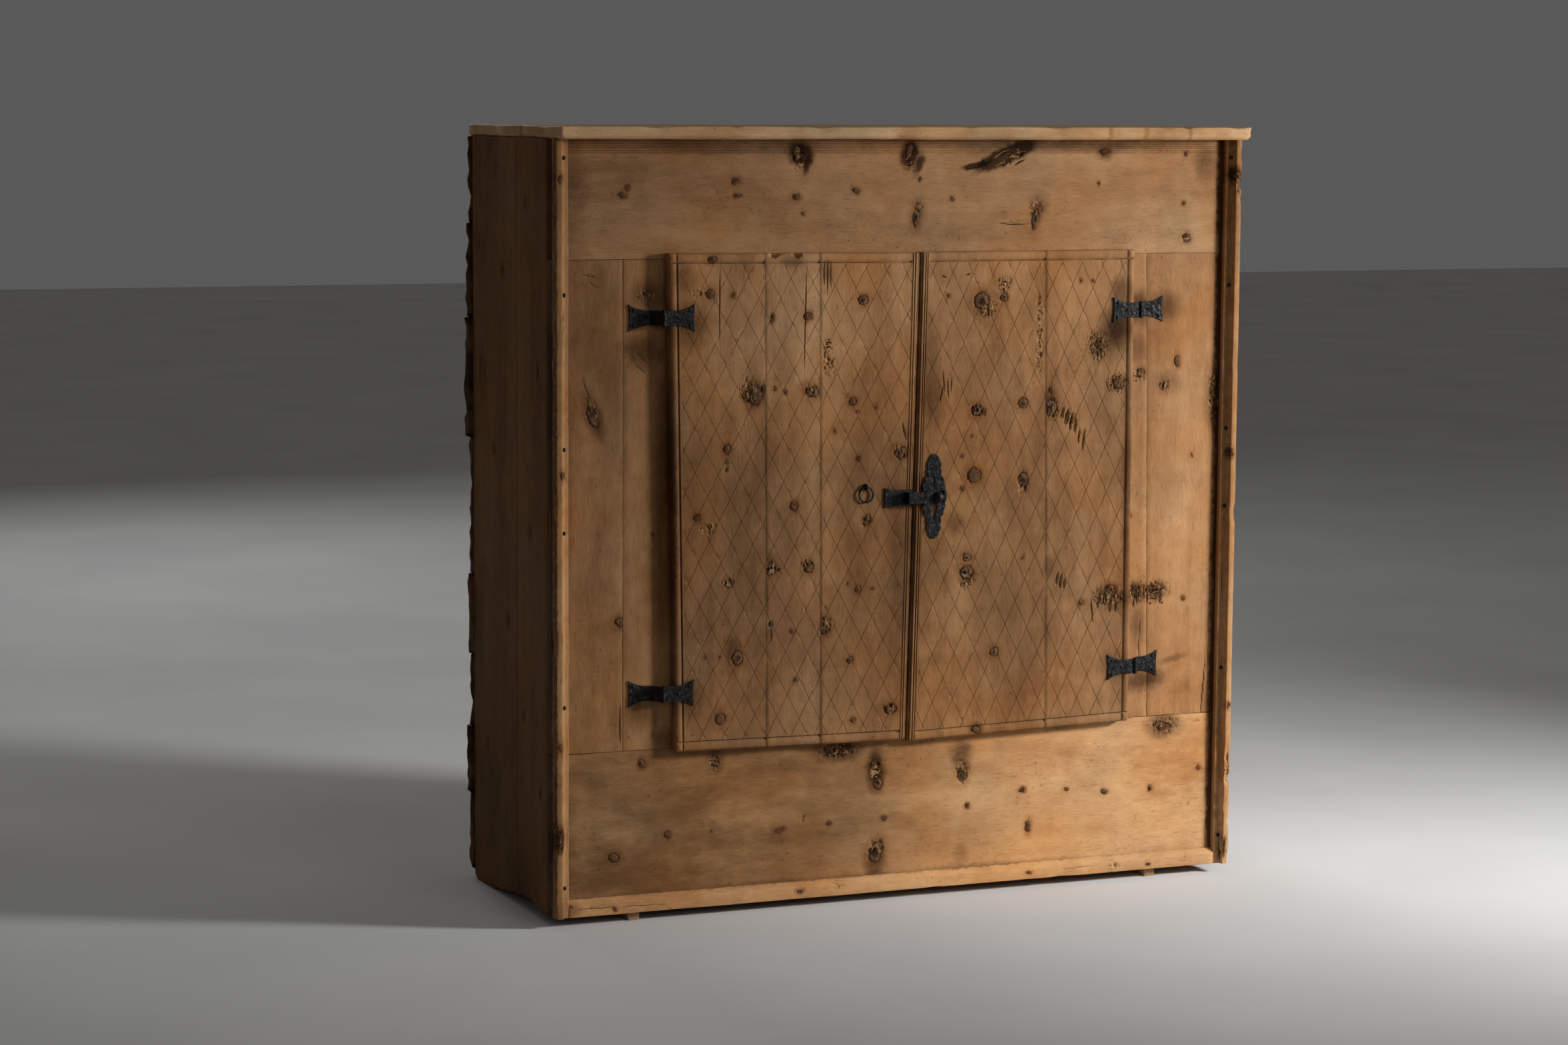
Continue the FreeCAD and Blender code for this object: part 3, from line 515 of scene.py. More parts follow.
def scar(piece, figure):
    """Works a front face at its own marks: the mesh is divided there, torn wood is ragged, gouges are cut in,
    and knots stand a little proud inside a sunk rim."""
    knots, gouges, torn = [[mark(*spot) for spot in figure[kind]] for kind in ("knots", "gouges", "torn")]
    knots = [spot for spot in knots if min(spot[2:4]) > SMALL_KNOT]

    def away(points, spot):
        x, z, wide, high, turn = spot
        cosine, sine = math.cos(math.radians(turn)), math.sin(math.radians(turn))
        across, up = points[:, 0] - x / 1000, points[:, 2] - z / 1000
        return np.hypot((across * cosine - up * sine) / wide, (across * sine + up * cosine) / high) * 1000

    for cuts, margin in ((2, 3.5), (1, 1.0)):
        middles = rows(piece.data.polygons, "center")
        chosen = np.zeros(len(middles), bool)
        for spots, reach in ((gouges + knots, 1.5), (torn, 1.25)):
            for x, z, wide, high, turn in spots:
                chosen |= away(middles, (x, z, wide + margin, high + margin, turn)) < reach
        pick(piece, "polygons", chosen & (rows(piece.data.polygons, "normal")[:, 1] < FACING))
        bpy.ops.mesh.subdivide(number_cuts=cuts)
        close()
    points = mesh_points(piece)
    front = rows(piece.data.vertices, "normal")[:, 1] < -0.7
    push = np.zeros(len(points))
    for spot in torn:
        inside = np.clip(1.15 - away(points, spot), 0, 1)
        for index in np.nonzero((inside > 0) & front)[0]:
            place = Vector(points[index])
            spread = math.hypot(place.x - spot[0] / 1000, place.z - spot[1] / 1000)
            rag = noise.turbulence(place * 150, 3, True) - 0.55
            wave = math.sin(spread * 1500 + 4 * noise.noise(place * 60))
            push[index] += min(inside[index] * 2.0, 1.0) * (0.0012 + rag * 0.0062 + wave * 0.0005)
    for spot in gouges:
        inside = np.clip(1 - away(points, spot) ** 2, 0, 1) * front
        push = np.maximum(push, inside * min(0.0042, 0.0014 + min(spot[2:4]) * 0.0008))
    for spot in knots:
        distance = away(points, spot)
        push -= front * 0.0007 * np.clip(1 - distance ** 2, 0, 1)
        push += front * 0.0008 * np.exp(-((distance - 1.0) / 0.16) ** 2)
    points[:, 1] += np.clip(push, -0.0012, 0.0052)
    set_points(piece, points)


def lean(piece, at_left, at_right):
    """Slants an upright board's edges: each pair is how far the edge moves in x at its foot and its head."""
    points = mesh_points(piece)
    low, high = points.min(0), points.max(0)
    up = (points[:, 2] - low[2]) / (high[2] - low[2])
    over = (points[:, 0] - low[0]) / (high[0] - low[0])
    left = at_left[0] + (at_left[1] - at_left[0]) * up
    right = at_right[0] + (at_right[1] - at_right[0]) * up
    points[:, 0] += left + (right - left) * over
    set_points(piece, points)


LEANING = {"right_stile_inner": ((0, 0), (0, -0.016)), "right_stile_outer": ((0.016, 0), (0, 0))}
PLANE_TRACKS = (1.2632, 1.2668, 1.2715, 1.2745, 1.2782, 1.2824)
FRAME = {
    "top_rail": dict(
        heart=(1.16, -0.10), tones=((0.130, 0.063, 0.027), (0.362, 0.196, 0.092), (0.592, 0.359, 0.186)),
        knots=(
            (-504, 1195, 6, 5), (-496, 1207, 4), (-308, 1217, 7, 6), (-304, 1194, 5, 3), (-201, 1190, 7, 5),
            (-188, 1165, 3), (-94, 1201, 6, 5), (3, 1265, 7, 14, 15), (17, 1155, 6, 15, 5), (23, 1219, 3),
            (84, 1187, 4), (239, 1151, 7, 17, 8), (369, 1265, 8, 6), (360, 1212, 3), (526, 1262, 4),
            (524, 1178, 4), (530, 1119, 7), (-199, 1264, 8, 11)),
        stains_and_shade=(
            (1.5, -192, 1262, 34, 30, 14), (1.2, -180, 1244, 10, 26, 20), (1.6, 4, 1260, 24, 34, 16),
            (2.4, 184, 1259, 84, 20, -22), (1.6, 128, 1243, 40, 8, -12), (1.2, 22, 1244, 12, 30, 20),
            (0.5, 246, 1176, 30, 34), (0.5, 20, 1166, 26, 44), (0.6, 567, 1245, 34, 50),
            # (0.5, -300, 1272, ...) and (0.6, 330, 1274, ...) are painted shadow under the top's overhang,
            # (1.5, 600, 1190, ...) is the right corner moulding's shadow painted on, and (0.3, -480, 1190, ...)
            # is painted shade darkening the left end.
            (0.55, 370, 1262, 26, 18), (0.6, -600, 1190, 50, 150), (0.5, -300, 1272, 340, 14),
            (0.6, 330, 1274, 320, 14), (1.5, 600, 1190, 15, 300), (0.3, -480, 1190, 460, 300)),
        gouges=(
            (198, 1144, 32, 1.6, 2), (-20, 1094, 2.5), (34, 1094, 2.5), (130, 1095, 2.5),
            (176, 1262, 16, 2.2, -26), (208, 1248, 14, 2.0, -24)),
        torn=(
            (240, 1172, 17, 15), (196, 1256, 36, 9, -26), (22, 1172, 13, 10), (-196, 1252, 14, 18),
            (6, 1246, 10, 14), (530, 1120, 10))),
    "bottom_rail": dict(
        # Pale tones: partly the rail's own wood and partly painted light.
        heart=(0.10, -0.09), tones=((0.173, 0.078, 0.031), (0.475, 0.253, 0.112), (0.745, 0.465, 0.228)),
        knots=(
            (-424, 140, 6, 5), (-347, 140, 2.5), (-224, 133, 8, 4, -10), (-133, 138, 5, 4), (-31, 140, 5, 4),
            (-44, 201, 9, 11), (-51, 233, 7, 9), (-47, 83, 12, 19, 20), (-519, 108, 9, 8, 30),
            (-471, 262, 5, 7), (114, 205, 9, 13), (126, 150, 5, 4), (230, 171, 6, 5), (314, 167, 4),
            (389, 157, 6, 5), (480, 157, 5), (242, 108, 5, 11), (574, 187, 4)),
        stains_and_shade=(
            (0.65, -340, 262, 26, 38), (1.0, -119, 262, 66, 28), (1.0, -48, 225, 26, 55),
            (1.0, 114, 240, 30, 42), (0.95, 503, 268, 52, 34), (0.9, -47, 60, 30, 46),
            # (0.5, 300, 278, ...) and (0.55, 0, 284, ...) are painted shadow under the doors, (1.4, 600, 150,
            # ...) is the right corner moulding's shadow painted on, (0.95, -625, 150, ...) is painted shade in
            # the recess behind the left corner moulding, and (0.72, -420, 150, ...) is painted shade darkening
            # the left half.
            (0.5, -610, 150, 40, 160), (0.5, 300, 278, 60, 10), (0.55, 0, 284, 560, 9), (0.35, 114, 66, 20, 30),
            (0.5, 0, 40, 560, 14), (1.4, 600, 150, 14, 400), (0.95, -625, 150, 9, 600),
            (0.72, -420, 150, 760, 420)),
        gouges=(
            (-119, 262, 1.4, 16, 8), (-128, 258, 1.4, 14, 4), (-105, 264, 1.3, 12, -6), (503, 266, 1.6, 18, 14),
            (516, 262, 1.4, 14, 10), (489, 270, 1.4, 12, 16), (-344, 250, 1.4, 12), (-180, 150, 1.2, 8, 12)),
        torn=(
            (114, 212, 15, 20), (-46, 90, 15, 20), (-119, 262, 40, 14), (503, 268, 32, 15), (-46, 218, 11, 24),
            (-340, 258, 12, 16))),
    "left_stile_outer": dict(
        heart=(-0.58, -0.07),
        knots=((-556, 837, 8, 20, -22), (-509, 499, 9, 8)),
        stains_and_shade=(
            (0.55, -553, 840, 22, 75, -20), (0.5, -610, 690, 26, 420), (0.3, -520, 930, 30, 90),
            # (0.95, -625, 690, ...) is painted shade in the recess behind the left corner moulding, and (0.42,
            # -560, 690, ...) is painted shade darkening the stile towards the left.
            (0.45, -516, 330, 18, 60), (0.95, -625, 690, 9, 2000), (0.42, -560, 690, 240, 1400)),
        gouges=(
            (-508, 330, 1.3, 40), (-566, 880, 1.0, 30, -20), (-560, 1066, 22, 1.0, 12),
            (-552, 1050, 16, 1.0, 30)),
        torn=((-556, 850, 9, 26, -22),)),
    "left_stile_inner": dict(
        heart=(-0.43, -0.12),
        knots=((-452, 640, 3, 4),),
        stains_and_shade=(
            (0.8, -458, 1034, 46, 38), (0.8, -468, 945, 50, 44), (0.7, -430, 700, 30, 430),
            # (0.3, -480, 690, ...) is painted shade darkening the stile towards the left.
            (0.7, -468, 350, 46, 50), (0.6, -420, 300, 60, 30), (0.3, -480, 690, 200, 1400)),
        gouges=(
            (-468, 928, 20, 1.0, 35), (-474, 914, 18, 1.0, 38), (-462, 1036, 12, 1.0, 60),
            (-476, 1030, 9, 1.0, 80), (-450, 312, 1.2, 10, 20), (-446, 330, 1.2, 8, -12)),
        torn=((-462, 1034, 16, 12),)),
    "right_stile_inner": dict(
        heart=(0.43, -0.11),
        knots=((446, 887, 7, 8), (430, 640, 3, 4)),
        stains_and_shade=(
            (0.8, 440, 1000, 60, 44), (0.5, 430, 930, 46, 40), (1.1, 446, 505, 40, 28),
            (0.85, 450, 350, 50, 30), (0.5, 450, 450, 30, 50), (0.35, 410, 700, 16, 420)),
        gouges=(
            (452, 425, 1.0, 44), (436, 508, 9, 2.2, 20), (428, 496, 9, 2.2, -10), (442, 880, 10, 1.6, 20),
            (447, 494, 2.2, 15), (440, 486, 1.8, 10, 6)),
        torn=((446, 505, 34, 20), (440, 880, 14, 12))),
    "right_stile_outer": dict(
        heart=(0.56, -0.08),
        knots=((491, 863, 7, 8), (516, 905, 6, 10), (538, 490, 4), (548, 740, 3)),
        stains_and_shade=(
            (1.2, 482, 506, 34, 26), (0.45, 500, 870, 40, 30), (0.75, 588, 840, 26, 90),
            (0.85, 476, 352, 40, 26), (0.7, 490, 1000, 46, 40), (0.6, 520, 385, 40, 10, -14),
            # (1.5, 601, 690, ...) is the right corner moulding's shadow painted along the stile.
            (1.5, 601, 690, 15, 2000)),
        gouges=(
            (476, 514, 10, 2.4, 30), (486, 502, 11, 2.6, -14), (496, 510, 8, 2.2, 10), (472, 484, 2.2),
            (478, 492, 13, 2.0), (466, 494, 2.2, 14), (492, 492, 2.0, 12, 4), (496, 484, 2.2),
            (580, 330, 1.2, 60, 4), (586, 870, 1.2, 40, 8)),
        torn=((484, 506, 28, 18), (590, 850, 12, 60), (492, 866, 12, 10)))}
for node, figure in FRAME.items():
    board = sawn_board(node + "_planed", *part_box(node), 0.010)
    if node == "top_rail":
        scratch(board, (0, 1), PLANE_TRACKS, 0.0008, 0.0006, 0.8)
    if node in LEANING:
        lean(board, *LEANING[node])
    scar(board, figure)
    fit(board, node, "carcass",
        pine(node + "_pine", 0 if "rail" in node else 2, 1, scored=node == "top_rail", **figure))


# Floor, bearers and foot blocks, two shelves and their cleats: rough sawn pine inside the case,
# the floor of two boards on bearers, the shelves lying loose on cleats nailed to the sides.
ROUGH = ((0.160, 0.082, 0.036), (0.339, 0.193, 0.093), (0.519, 0.313, 0.166))
inner_pine = pine("inner_pine", 0, 2, (0.02, -0.08), ROUGH,
                  ((-380, 60, 9, 7), (-120, -90, 7, 6), (210, 110, 10, 8), (420, -40, 8, 7)))
for node in ("floor_front_board", "floor_rear_board", "shelf_lower", "shelf_upper"):
    shelf = sawn_board(node + "_sawn", *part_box(node), 0.022)
    fit(shelf, node, "carcass", inner_pine)


def sawn_group(node, finish, boxes):
    """Like pieces that share one CAD node: one board for each box, joined in one object."""
    made = [sawn_board(node + "_sawn", low, high, 0.02) for low, high in boxes]
    alone(made[0])
    for piece in made[1:]:
        piece.select_set(True)
    bpy.ops.object.join()
    fit(made[0], node, "carcass", finish)


def pair_boxes(node, width):
    """Boxes of two like pieces at the two ends of a node."""
    low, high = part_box(node)
    return [(low, (low[0] + width, high[1], high[2])), ((high[0] - width, low[1], low[2]), high)]


BEARER_WIDTH, FOOT_BLOCK_WIDTH, CLEAT_SIDE = 0.030, 0.020, 0.024
bearer_pine = pine("bearer_pine", 1, 2, (0.0, -0.05), ROUGH, grime=0.6)
sawn_group("floor_bearers", bearer_pine, pair_boxes("floor_bearers", BEARER_WIDTH))
sawn_group("foot_blocks", bearer_pine, pair_boxes("foot_blocks", FOOT_BLOCK_WIDTH))
cleat_low, cleat_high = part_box("shelf_cleats")
sawn_group("shelf_cleats", bearer_pine, [
    ((x, cleat_low[1], z), (x + CLEAT_SIDE, cleat_high[1], z + CLEAT_SIDE))
    for x in (cleat_low[0], cleat_high[0] - CLEAT_SIDE) for z in (cleat_low[2], cleat_high[2] - CLEAT_SIDE)])


# Back: eight rough boards lying across, nailed to the rear edges of the sides.  They are sawn, never
# planed, and their broken ends stand out past the sides by different lengths.
def broken_ends(piece, depth):
    """Splinters both ends of a board that lies across."""
    points = mesh_points(piece)
    low, high = points[:, 0].min(), points[:, 0].max()
    for end, inward in ((low, 1), (high, -1)):
        near = np.clip(1 - np.abs(points[:, 0] - end) / 0.03, 0, 1)
        for index in np.nonzero(near)[0]:
            spot = Vector((end * 7, points[index, 1] * 90, points[index, 2] * 45))
            jag = min(abs(noise.turbulence(spot, 4, True)), 1.0)
            points[index, 0] += inward * near[index] * jag * depth
    set_points(piece, points)


for number, shading in enumerate((0.82, 1.0, 0.74, 0.92, 1.06, 0.80, 0.96, 0.86), 1):
    node = f"back_board_{number}"
    low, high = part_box(node)
    back_board = sawn_board(node + "_sawn", low, high, 0.014, 0.0028, 0.0022, 0.03)
    broken_ends(back_board, 0.009)
    foot_z, head_z = low[2] * 1000, high[2] * 1000
    mid_z = (low[2] + high[2]) * 500
    fit(back_board, node, "carcass",
        pine(node + "_pine", 0, 1, (mid_z / 1000 + 0.01 * (number % 3), 0.30),
             [[part * shading for part in tone] for tone in ROUGH],
             ((-470 + 83 * number % 300, mid_z + 14, 8, 7), (60 + 131 * number % 420, mid_z - 18, 10, 8),
              (-200 + 57 * number % 260, mid_z + 22, 6, 5)),
             ((1.0, -632, mid_z, 40, 400), (0.9, 632, mid_z, 40, 400), (1.0, 0, foot_z, 4000, 9),
              (1.0, 0, head_z, 4000, 9)), grime=0.6))


# Corner mouldings: a pine strip up each front corner, worked with a plane into a flat, a cove and a
# fillet, and nailed through the cove.  The flat's arris is rubbed round and chipped at the foot.
def strip(name, outline, direction, length):
    """A closed section, drawn as a circle moved into shape, and extruded along its run."""
    bpy.ops.mesh.primitive_circle_add(vertices=len(outline), radius=0.01, fill_type="NGON")
    piece = bpy.context.object
    piece.name = name
    set_points(piece, np.array(outline, float))
    pick(piece, "polygons", np.ones(1, bool))
    bpy.ops.mesh.extrude_region_move(TRANSFORM_OT_translate={"value": [part * length for part in direction]})
    bpy.ops.mesh.select_all(action="SELECT")
    bpy.ops.mesh.normals_make_consistent(inside=False)
    close()
    return piece


def chip(piece, places):
    """Knocks small chips off a piece: each is a place in mm, a reach, and a push in mm."""
    points = mesh_points(piece)
    for middle, reach, push in places:
        away = np.linalg.norm(points - np.array(middle) / 1000, axis=1) / (reach / 1000)
        points += np.clip(1 - away, 0, 1)[:, None] ** 0.7 * np.array(push) / 1000
    set_points(piece, points)


FLAT_WIDTH, COVE_RADIUS, MOULDING_WIDTH = 0.0105, 0.011, 0.0245
MOULDING_TONES = ((0.126, 0.056, 0.021), (0.386, 0.200, 0.084), (0.665, 0.399, 0.193))
MOULDING_CHIPS = {
    "left": (
        ((-625, -213.5, 150), 26, (7, 6, 0)), ((-625, -213.5, 128), 12, (4, 3, 0)),
        ((-624, -213.5, 20), 20, (4, 5, 0)), ((-622, -213.5, 300), 24, (3, 2, 0)),
        ((-625, -213.5, 470), 30, (3, 2, 0)), ((-625, -213.5, 700), 22, (2.5, 2, 0)),
        ((-624, -213.5, 960), 26, (2.5, 2, 0)), ((-625, -213.5, 1180), 20, (2, 2, 0)),
        ((-614, -213.5, 1262), 8, (0, 2, 0))),
    "right": (
        ((625, -213.5, 1210), 10, (-2.5, 2, 0)), ((625, -213.5, 1188), 8, (-2, 1.5, 0)),
        ((625, -213.5, 1262), 8, (-1.5, 1.5, 0)), ((625, -213.5, 640), 14, (-3, 2, 0)),
        ((618, -213.5, 210), 16, (0, 3, 0)), ((625, -213.5, 168), 12, (-3.5, 3, 0)),
        ((616, -213.5, 120), 12, (0, 3, 0)), ((625, -213.5, 96), 9, (-3, 2, 0)),
        ((622, -213.5, 24), 12, (-2, 3, 0)), ((602, -203, 134), 9, (2, 4, 0)),
        ((602, -203, 108), 7, (2, 3, 0)), ((602, -203, 420), 9, (1, 2, 0)),
        ((602, -203, 860), 10, (1, 2, 0)), ((617, -213.5, 900), 12, (0, 2, 0)))}
MOULDING_FIGURES = {
    "left": dict(
        knots=((-622, 150, 8, 13), (-617, 1222, 5, 7), (-614, 745, 5, 7), (-618, 300, 4, 6)),
        stains_and_shade=(
            # (0.8, -626, 700, ...) and (0.4, -620, 700, ...) are painted shade on the moulding's outer face,
            # reaching onto the flat.
            (0.8, -626, 700, 3.5, 2000), (0.4, -620, 700, 11, 2000), (0.5, -612, 40, 14, 40),
            (0.9, -620, 150, 14, 34)),
        gouges=((-613, 240, 1.0, 26), (-610, 980, 0.9, 30)),
        torn=((-621, 150, 10, 22),)),
    "right": dict(
        knots=((618, 1222, 6, 10), (614, 745, 5, 7), (619, 300, 4, 6)),
        stains_and_shade=(
            # (0.5, 608, 700, ...) is painted shade in the cove.
            (0.5, 608, 700, 7, 2000), (1.1, 612, 1226, 18, 24), (0.6, 613, 740, 12, 18),
            (0.6, 612, 44, 9, 40)),
        gouges=((617, 46, 2.2, 26, 2), (612, 40, 1.6, 22, -3), (621, 204, 1.6, 14), (608, 520, 0.9, 40)),
        torn=((618, 1206, 7, 16), (616, 46, 8, 26), (620, 180, 5, 40)))}
for hand, sign in HANDS:
    node = hand + "_corner_moulding"
    low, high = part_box(node)
    outer, front, back = sign * 0.625, low[1], high[1]
    inner = outer - sign * MOULDING_WIDTH
    turns = [math.radians(step * 15) for step in range(7)]
    cove = [(outer - sign * (FLAT_WIDTH + COVE_RADIUS * (1 - math.cos(turn))),
             front + COVE_RADIUS * math.sin(turn)) for turn in turns]
    section = [(outer, back), (outer, front), *cove, (inner, front + COVE_RADIUS), (inner, back)]
    moulding = strip(node + "_planed", [(x, y, low[2]) for x, y in section], (0, 0, 1), high[2] - low[2])
    ease(moulding, 0.0011)
    divide(moulding, (2, 0.008))
    weather(moulding, (0.0009, 0.03), (0.0012, 0.16))
    chip(moulding, MOULDING_CHIPS[hand])
    figure = MOULDING_FIGURES[hand]
    scar(moulding, figure)
    fit(moulding, node, "carcass",
        pine(node + "_pine", 2, 1, (sign * 0.60, -0.16), MOULDING_TONES, grime=0.45, **figure), 50)


# Base moulding: a low pine strip with a sloping top, nailed along the foot of the front between the
# corner mouldings, pale all over, partly from wear and partly a painted highlight, and cracked along its left
# end.
base_low, base_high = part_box("base_moulding")
base_section = [(base_low[0], y, z) for y, z in (
    (base_high[1], base_low[2]), (base_low[1], base_low[2]), (base_low[1], base_high[2] - 0.009),
    (base_high[1] - 0.002, base_high[2]), (base_high[1], base_high[2]))]
base = strip("base_moulding_planed", base_section, (1, 0, 0), base_high[0] - base_low[0])
ease(base, 0.0012)
divide(base, (0, 0.008))
weather(base, (0.0012, 0.04), (0.0018, 0.2))
chip(base, (((-560, -203, 36), 16, (0, 2, -2)), ((-120, -203, 36), 14, (0, 2, -1)),
            ((300, -203, 18), 20, (0, 2, 1)), ((60, -203, 18), 12, (0, 2, 1))))
base_figure = dict(
    knots=((-190, 30, 6, 4), (-520, 24, 4, 3), (240, 28, 5, 3), (470, 26, 4, 3), (-596, 35, 2.5)),
    stains_and_shade=((0.6, -600, 28, 30, 20), (0.7, 0, 46, 700, 5)),
    gouges=((-556, 29, 46, 1.1, 1), (-470, 27.5, 50, 0.9, 1), (330, 30, 30, 0.8, -2)),
    torn=((-120, 34, 18, 7), (400, 26, 16, 6)))
# Pale tones: partly wear, partly a painted highlight.
BASE_TONES = ((0.200, 0.093, 0.037), (0.492, 0.266, 0.117), (0.745, 0.459, 0.229))
scar(base, base_figure)
fit(base, "base_moulding", "carcass",
    pine("base_moulding_pine", 0, 1, (0.03, -0.16), BASE_TONES, **base_figure))


# Top: a front and a rear pine board lying on the case and nailed down, rounded and knocked along the
# front edge, chamfered below, and a little thinner towards the left end.
def chamfer(piece, chosen):
    """Planes the chosen edges off flat."""
    pick(piece, "edges", chosen)
    bpy.ops.mesh.bevel(offset=0.006, segments=1, affect="EDGES")
    close()


# Pale tones for the top boards: partly their own worn colour, partly a painted highlight along the front edge.
TOP_TONES = ((0.200, 0.104, 0.048), (0.505, 0.313, 0.162), (0.771, 0.532, 0.313))
TOP_KNOTS = (
    (-400, -120, 9, 8), (-215, -236, 10, 9), (-22, -240, 14, 9), (190, -160, 10, 9), (430, -90, 8, 7),
    (-330, 90, 10, 8), (20, 150, 9, 8), (350, 60, 11, 9), (352, -246, 3, 6), (505, -246, 2.5, 8),
    (420, -247, 4, 5))
TOP_STAINS_AND_SHADE = (
    (0.35, 0, 0, 500, 160), (0.3, -350, 120, 200, 60, 10), (0.6, -22, -240, 36, 24),
    # (1.3, -630, 0, ...) is painted shade on the left end face.
    (1.3, -630, 0, 16, 500), (0.5, -460, -248, 420, 120))
TOP_CHIPS = {
    "front": (
        ((-600, -248, 1300), 30, (2, 4, 0)), ((-180, -248, 1309), 22, (0, 3, -2)),
        ((-40, -248, 1288), 18, (0, 3, 1)), ((250, -248, 1309), 26, (0, 2.5, -2)),
        ((430, -248, 1290), 20, (0, 2, 1)), ((600, -248, 1309), 24, (-1, 3, -2)),
        ((-627, -36, 1300), 22, (7, -3, 0)), ((-627, -150, 1309), 30, (3, 0, -1.5)),
        ((-627, -90, 1290), 18, (3, 0, 0)), ((-470, -248, 1309), 16, (0, 3, -2.5)),
        ((-330, -248, 1309), 12, (0, 4, -2)), ((90, -248, 1309), 14, (0, 3, -2)),
        ((500, -248, 1309), 12, (0, 3.5, -2.5)), ((352, -248, 1298), 8, (0, 3, 0)),
        ((627, -248, 1298), 20, (-4, 4, 0))),
    "rear": (
        ((-627, -20, 1300), 20, (5, 3, 0)), ((-627, 90, 1309), 30, (3, 0, -1.5)),
        ((-627, 180, 1296), 24, (3, 0, 0)), ((-627, 246, 1300), 26, (4, -4, -1)))}
for part, heart_y in (("front", -0.15), ("rear", 0.12)):
    node = f"top_{part}_board"
    low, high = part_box(node)
    top = block(node + "_planed", low, high)
    middles = edge_ends(top).mean(axis=0)
    outer = np.abs(np.abs(middles[:, 0]) - high[0]) < 0.001
    if part == "front":
        outer |= np.abs(middles[:, 1] - low[1]) < 0.001
    chamfer(top, outer & (middles[:, 2] < low[2] + 0.001))
    ease(top, 0.0022, 3)
    divide(top, (0, 0.010), (1, 0.012), (2, 0.005))
    weather(top, (0.0012, 0.05), (0.0022, 0.3))
    points = mesh_points(top)
    rise = np.clip((points[:, 2] - low[2]) / (high[2] - low[2]), 0, 1)
    points[:, 2] -= rise * (0.0016 + 0.0016 * np.clip(0.5 - points[:, 0] / 1.25, 0, 1))
    set_points(top, points)
    chip(top, TOP_CHIPS[part])
    fit(top, node, "carcass",
        pine(node + "_pine", 0, 2, (heart_y, 1.22), TOP_TONES, TOP_KNOTS, TOP_STAINS_AND_SHADE, grime=0.45))


# Doors: three upright planks on the left and two on the right, held by ledges nailed across their
# backs.  Their outer edges are rounded with a quirk inside, the meeting edges are beaded, and the
# faces are scored all over with a ruled lattice of lozenges.
def bead(inset, start, end, drop):
    """How far a half-round bead between two insets lies back from the face."""
    share = np.clip((inset - (start + end) / 2) / ((end - start) / 2), -1, 1)
    return np.where((inset >= start) & (inset <= end), drop * (1 - np.sqrt(1 - share ** 2)), 0)


def groove(inset, middle):
    """How much dirt lies in a fine groove at an inset."""
    return np.exp(-((inset - middle) / 0.0007) ** 2)


def border(inset, width):
    """A half-round border of a width, and the quirk inside it: how far back they lie, and their dirt."""
    quirk = np.interp(inset, (width, width + 0.0010, width + 0.0018), (0.0028, 0.0026, 0))
    return (np.maximum(bead(inset, 0.0, width, 0.0040), quirk * (inset > width - 0.0002)),
            groove(inset, width + 0.0006))


HEAD_BORDER, HINGE_BORDER, MEETING_BORDER = 0.0150, 0.0130, 0.0140
BEADS = (0.0034, 0.0088, 0.0130)
HEAD_CUTS = (0.0016, 0.0034, 0.0056, 0.0080, 0.0104, 0.0126, 0.0144, 0.0153, 0.0160, 0.0168)
HINGE_CUTS = (0.0014, 0.0030, 0.0050, 0.0070, 0.0090, 0.0108, 0.0124, 0.0133, 0.0140, 0.0148)
MEETING_CUTS = (0.0012, 0.0026, 0.0034, 0.0039, 0.0047, 0.0061, 0.0075, 0.0083, 0.0088, 0.0092, 0.0099,
                0.0109, 0.0119, 0.0126, 0.0130, 0.0137)


def plank(name, low, high, hinge_x, meeting_x):
    """A plank in its own box: half-round along the door's head, foot and hinge edge, and two beads with
    quirks along the meeting edge, which run through from end to end."""
    piece = block(name, low, high)
    ease(piece, 0.0007)
    divide(piece, (0, 0.0055), (2, 0.0055), (1, 0.0065))
    cut_lines(piece, (0, 1), [low[2] + cut for cut in HEAD_CUTS] + [high[2] - cut for cut in HEAD_CUTS])
    for edge_x, cuts in ((hinge_x, HINGE_CUTS), (meeting_x, MEETING_CUTS)):
        if edge_x is not None:
            way = 1 if edge_x == low[0] else -1
            cut_lines(piece, (1, 0), [edge_x + way * cut for cut in cuts])
    points = mesh_points(piece)
    front = points[:, 1] < low[1] + 0.0009
    ends = np.minimum(points[:, 2] - low[2], high[2] - points[:, 2])
    push, dirt = border(ends, HEAD_BORDER)
    if hinge_x is not None:
        along_hinge, quirk = border(np.abs(points[:, 0] - hinge_x), HINGE_BORDER)
        push, dirt = np.maximum(push, along_hinge), np.maximum(dirt, quirk)
    for joint_x in (low[0], high[0]):
        if joint_x not in (hinge_x, meeting_x):
            dirt = np.maximum(dirt, (np.abs(points[:, 0] - joint_x) < 0.0008) * 0.55)
    if meeting_x is not None:
        inset = np.abs(points[:, 0] - meeting_x)
        first, second, last = BEADS
        beads = bead(inset, first, second, 0.0026) + bead(inset, second, last, 0.0022)
        beads = np.where(inset < first, np.interp(inset, (0, 0.0026, first), (0.0034, 0.0018, 0.0030)), beads)
        beads = np.where(inset > last, np.interp(inset, (last, 0.0137), (0.0022, 0)), beads)
        round_over = np.where(ends < 0.004, 0.004 - ends, 0) * 0.6
        push = np.where(inset < MEETING_BORDER, beads + round_over, push)
        lines = [groove(inset, line) for line in (first, second, 0.0131)]
        dirt = np.where(inset < MEETING_BORDER, np.maximum.reduce(lines + [(inset < 0.0022) * 0.8]), dirt)
    points[:, 1] += front * push
    set_points(piece, points)
    mark_score(piece, front * dirt)
    return piece


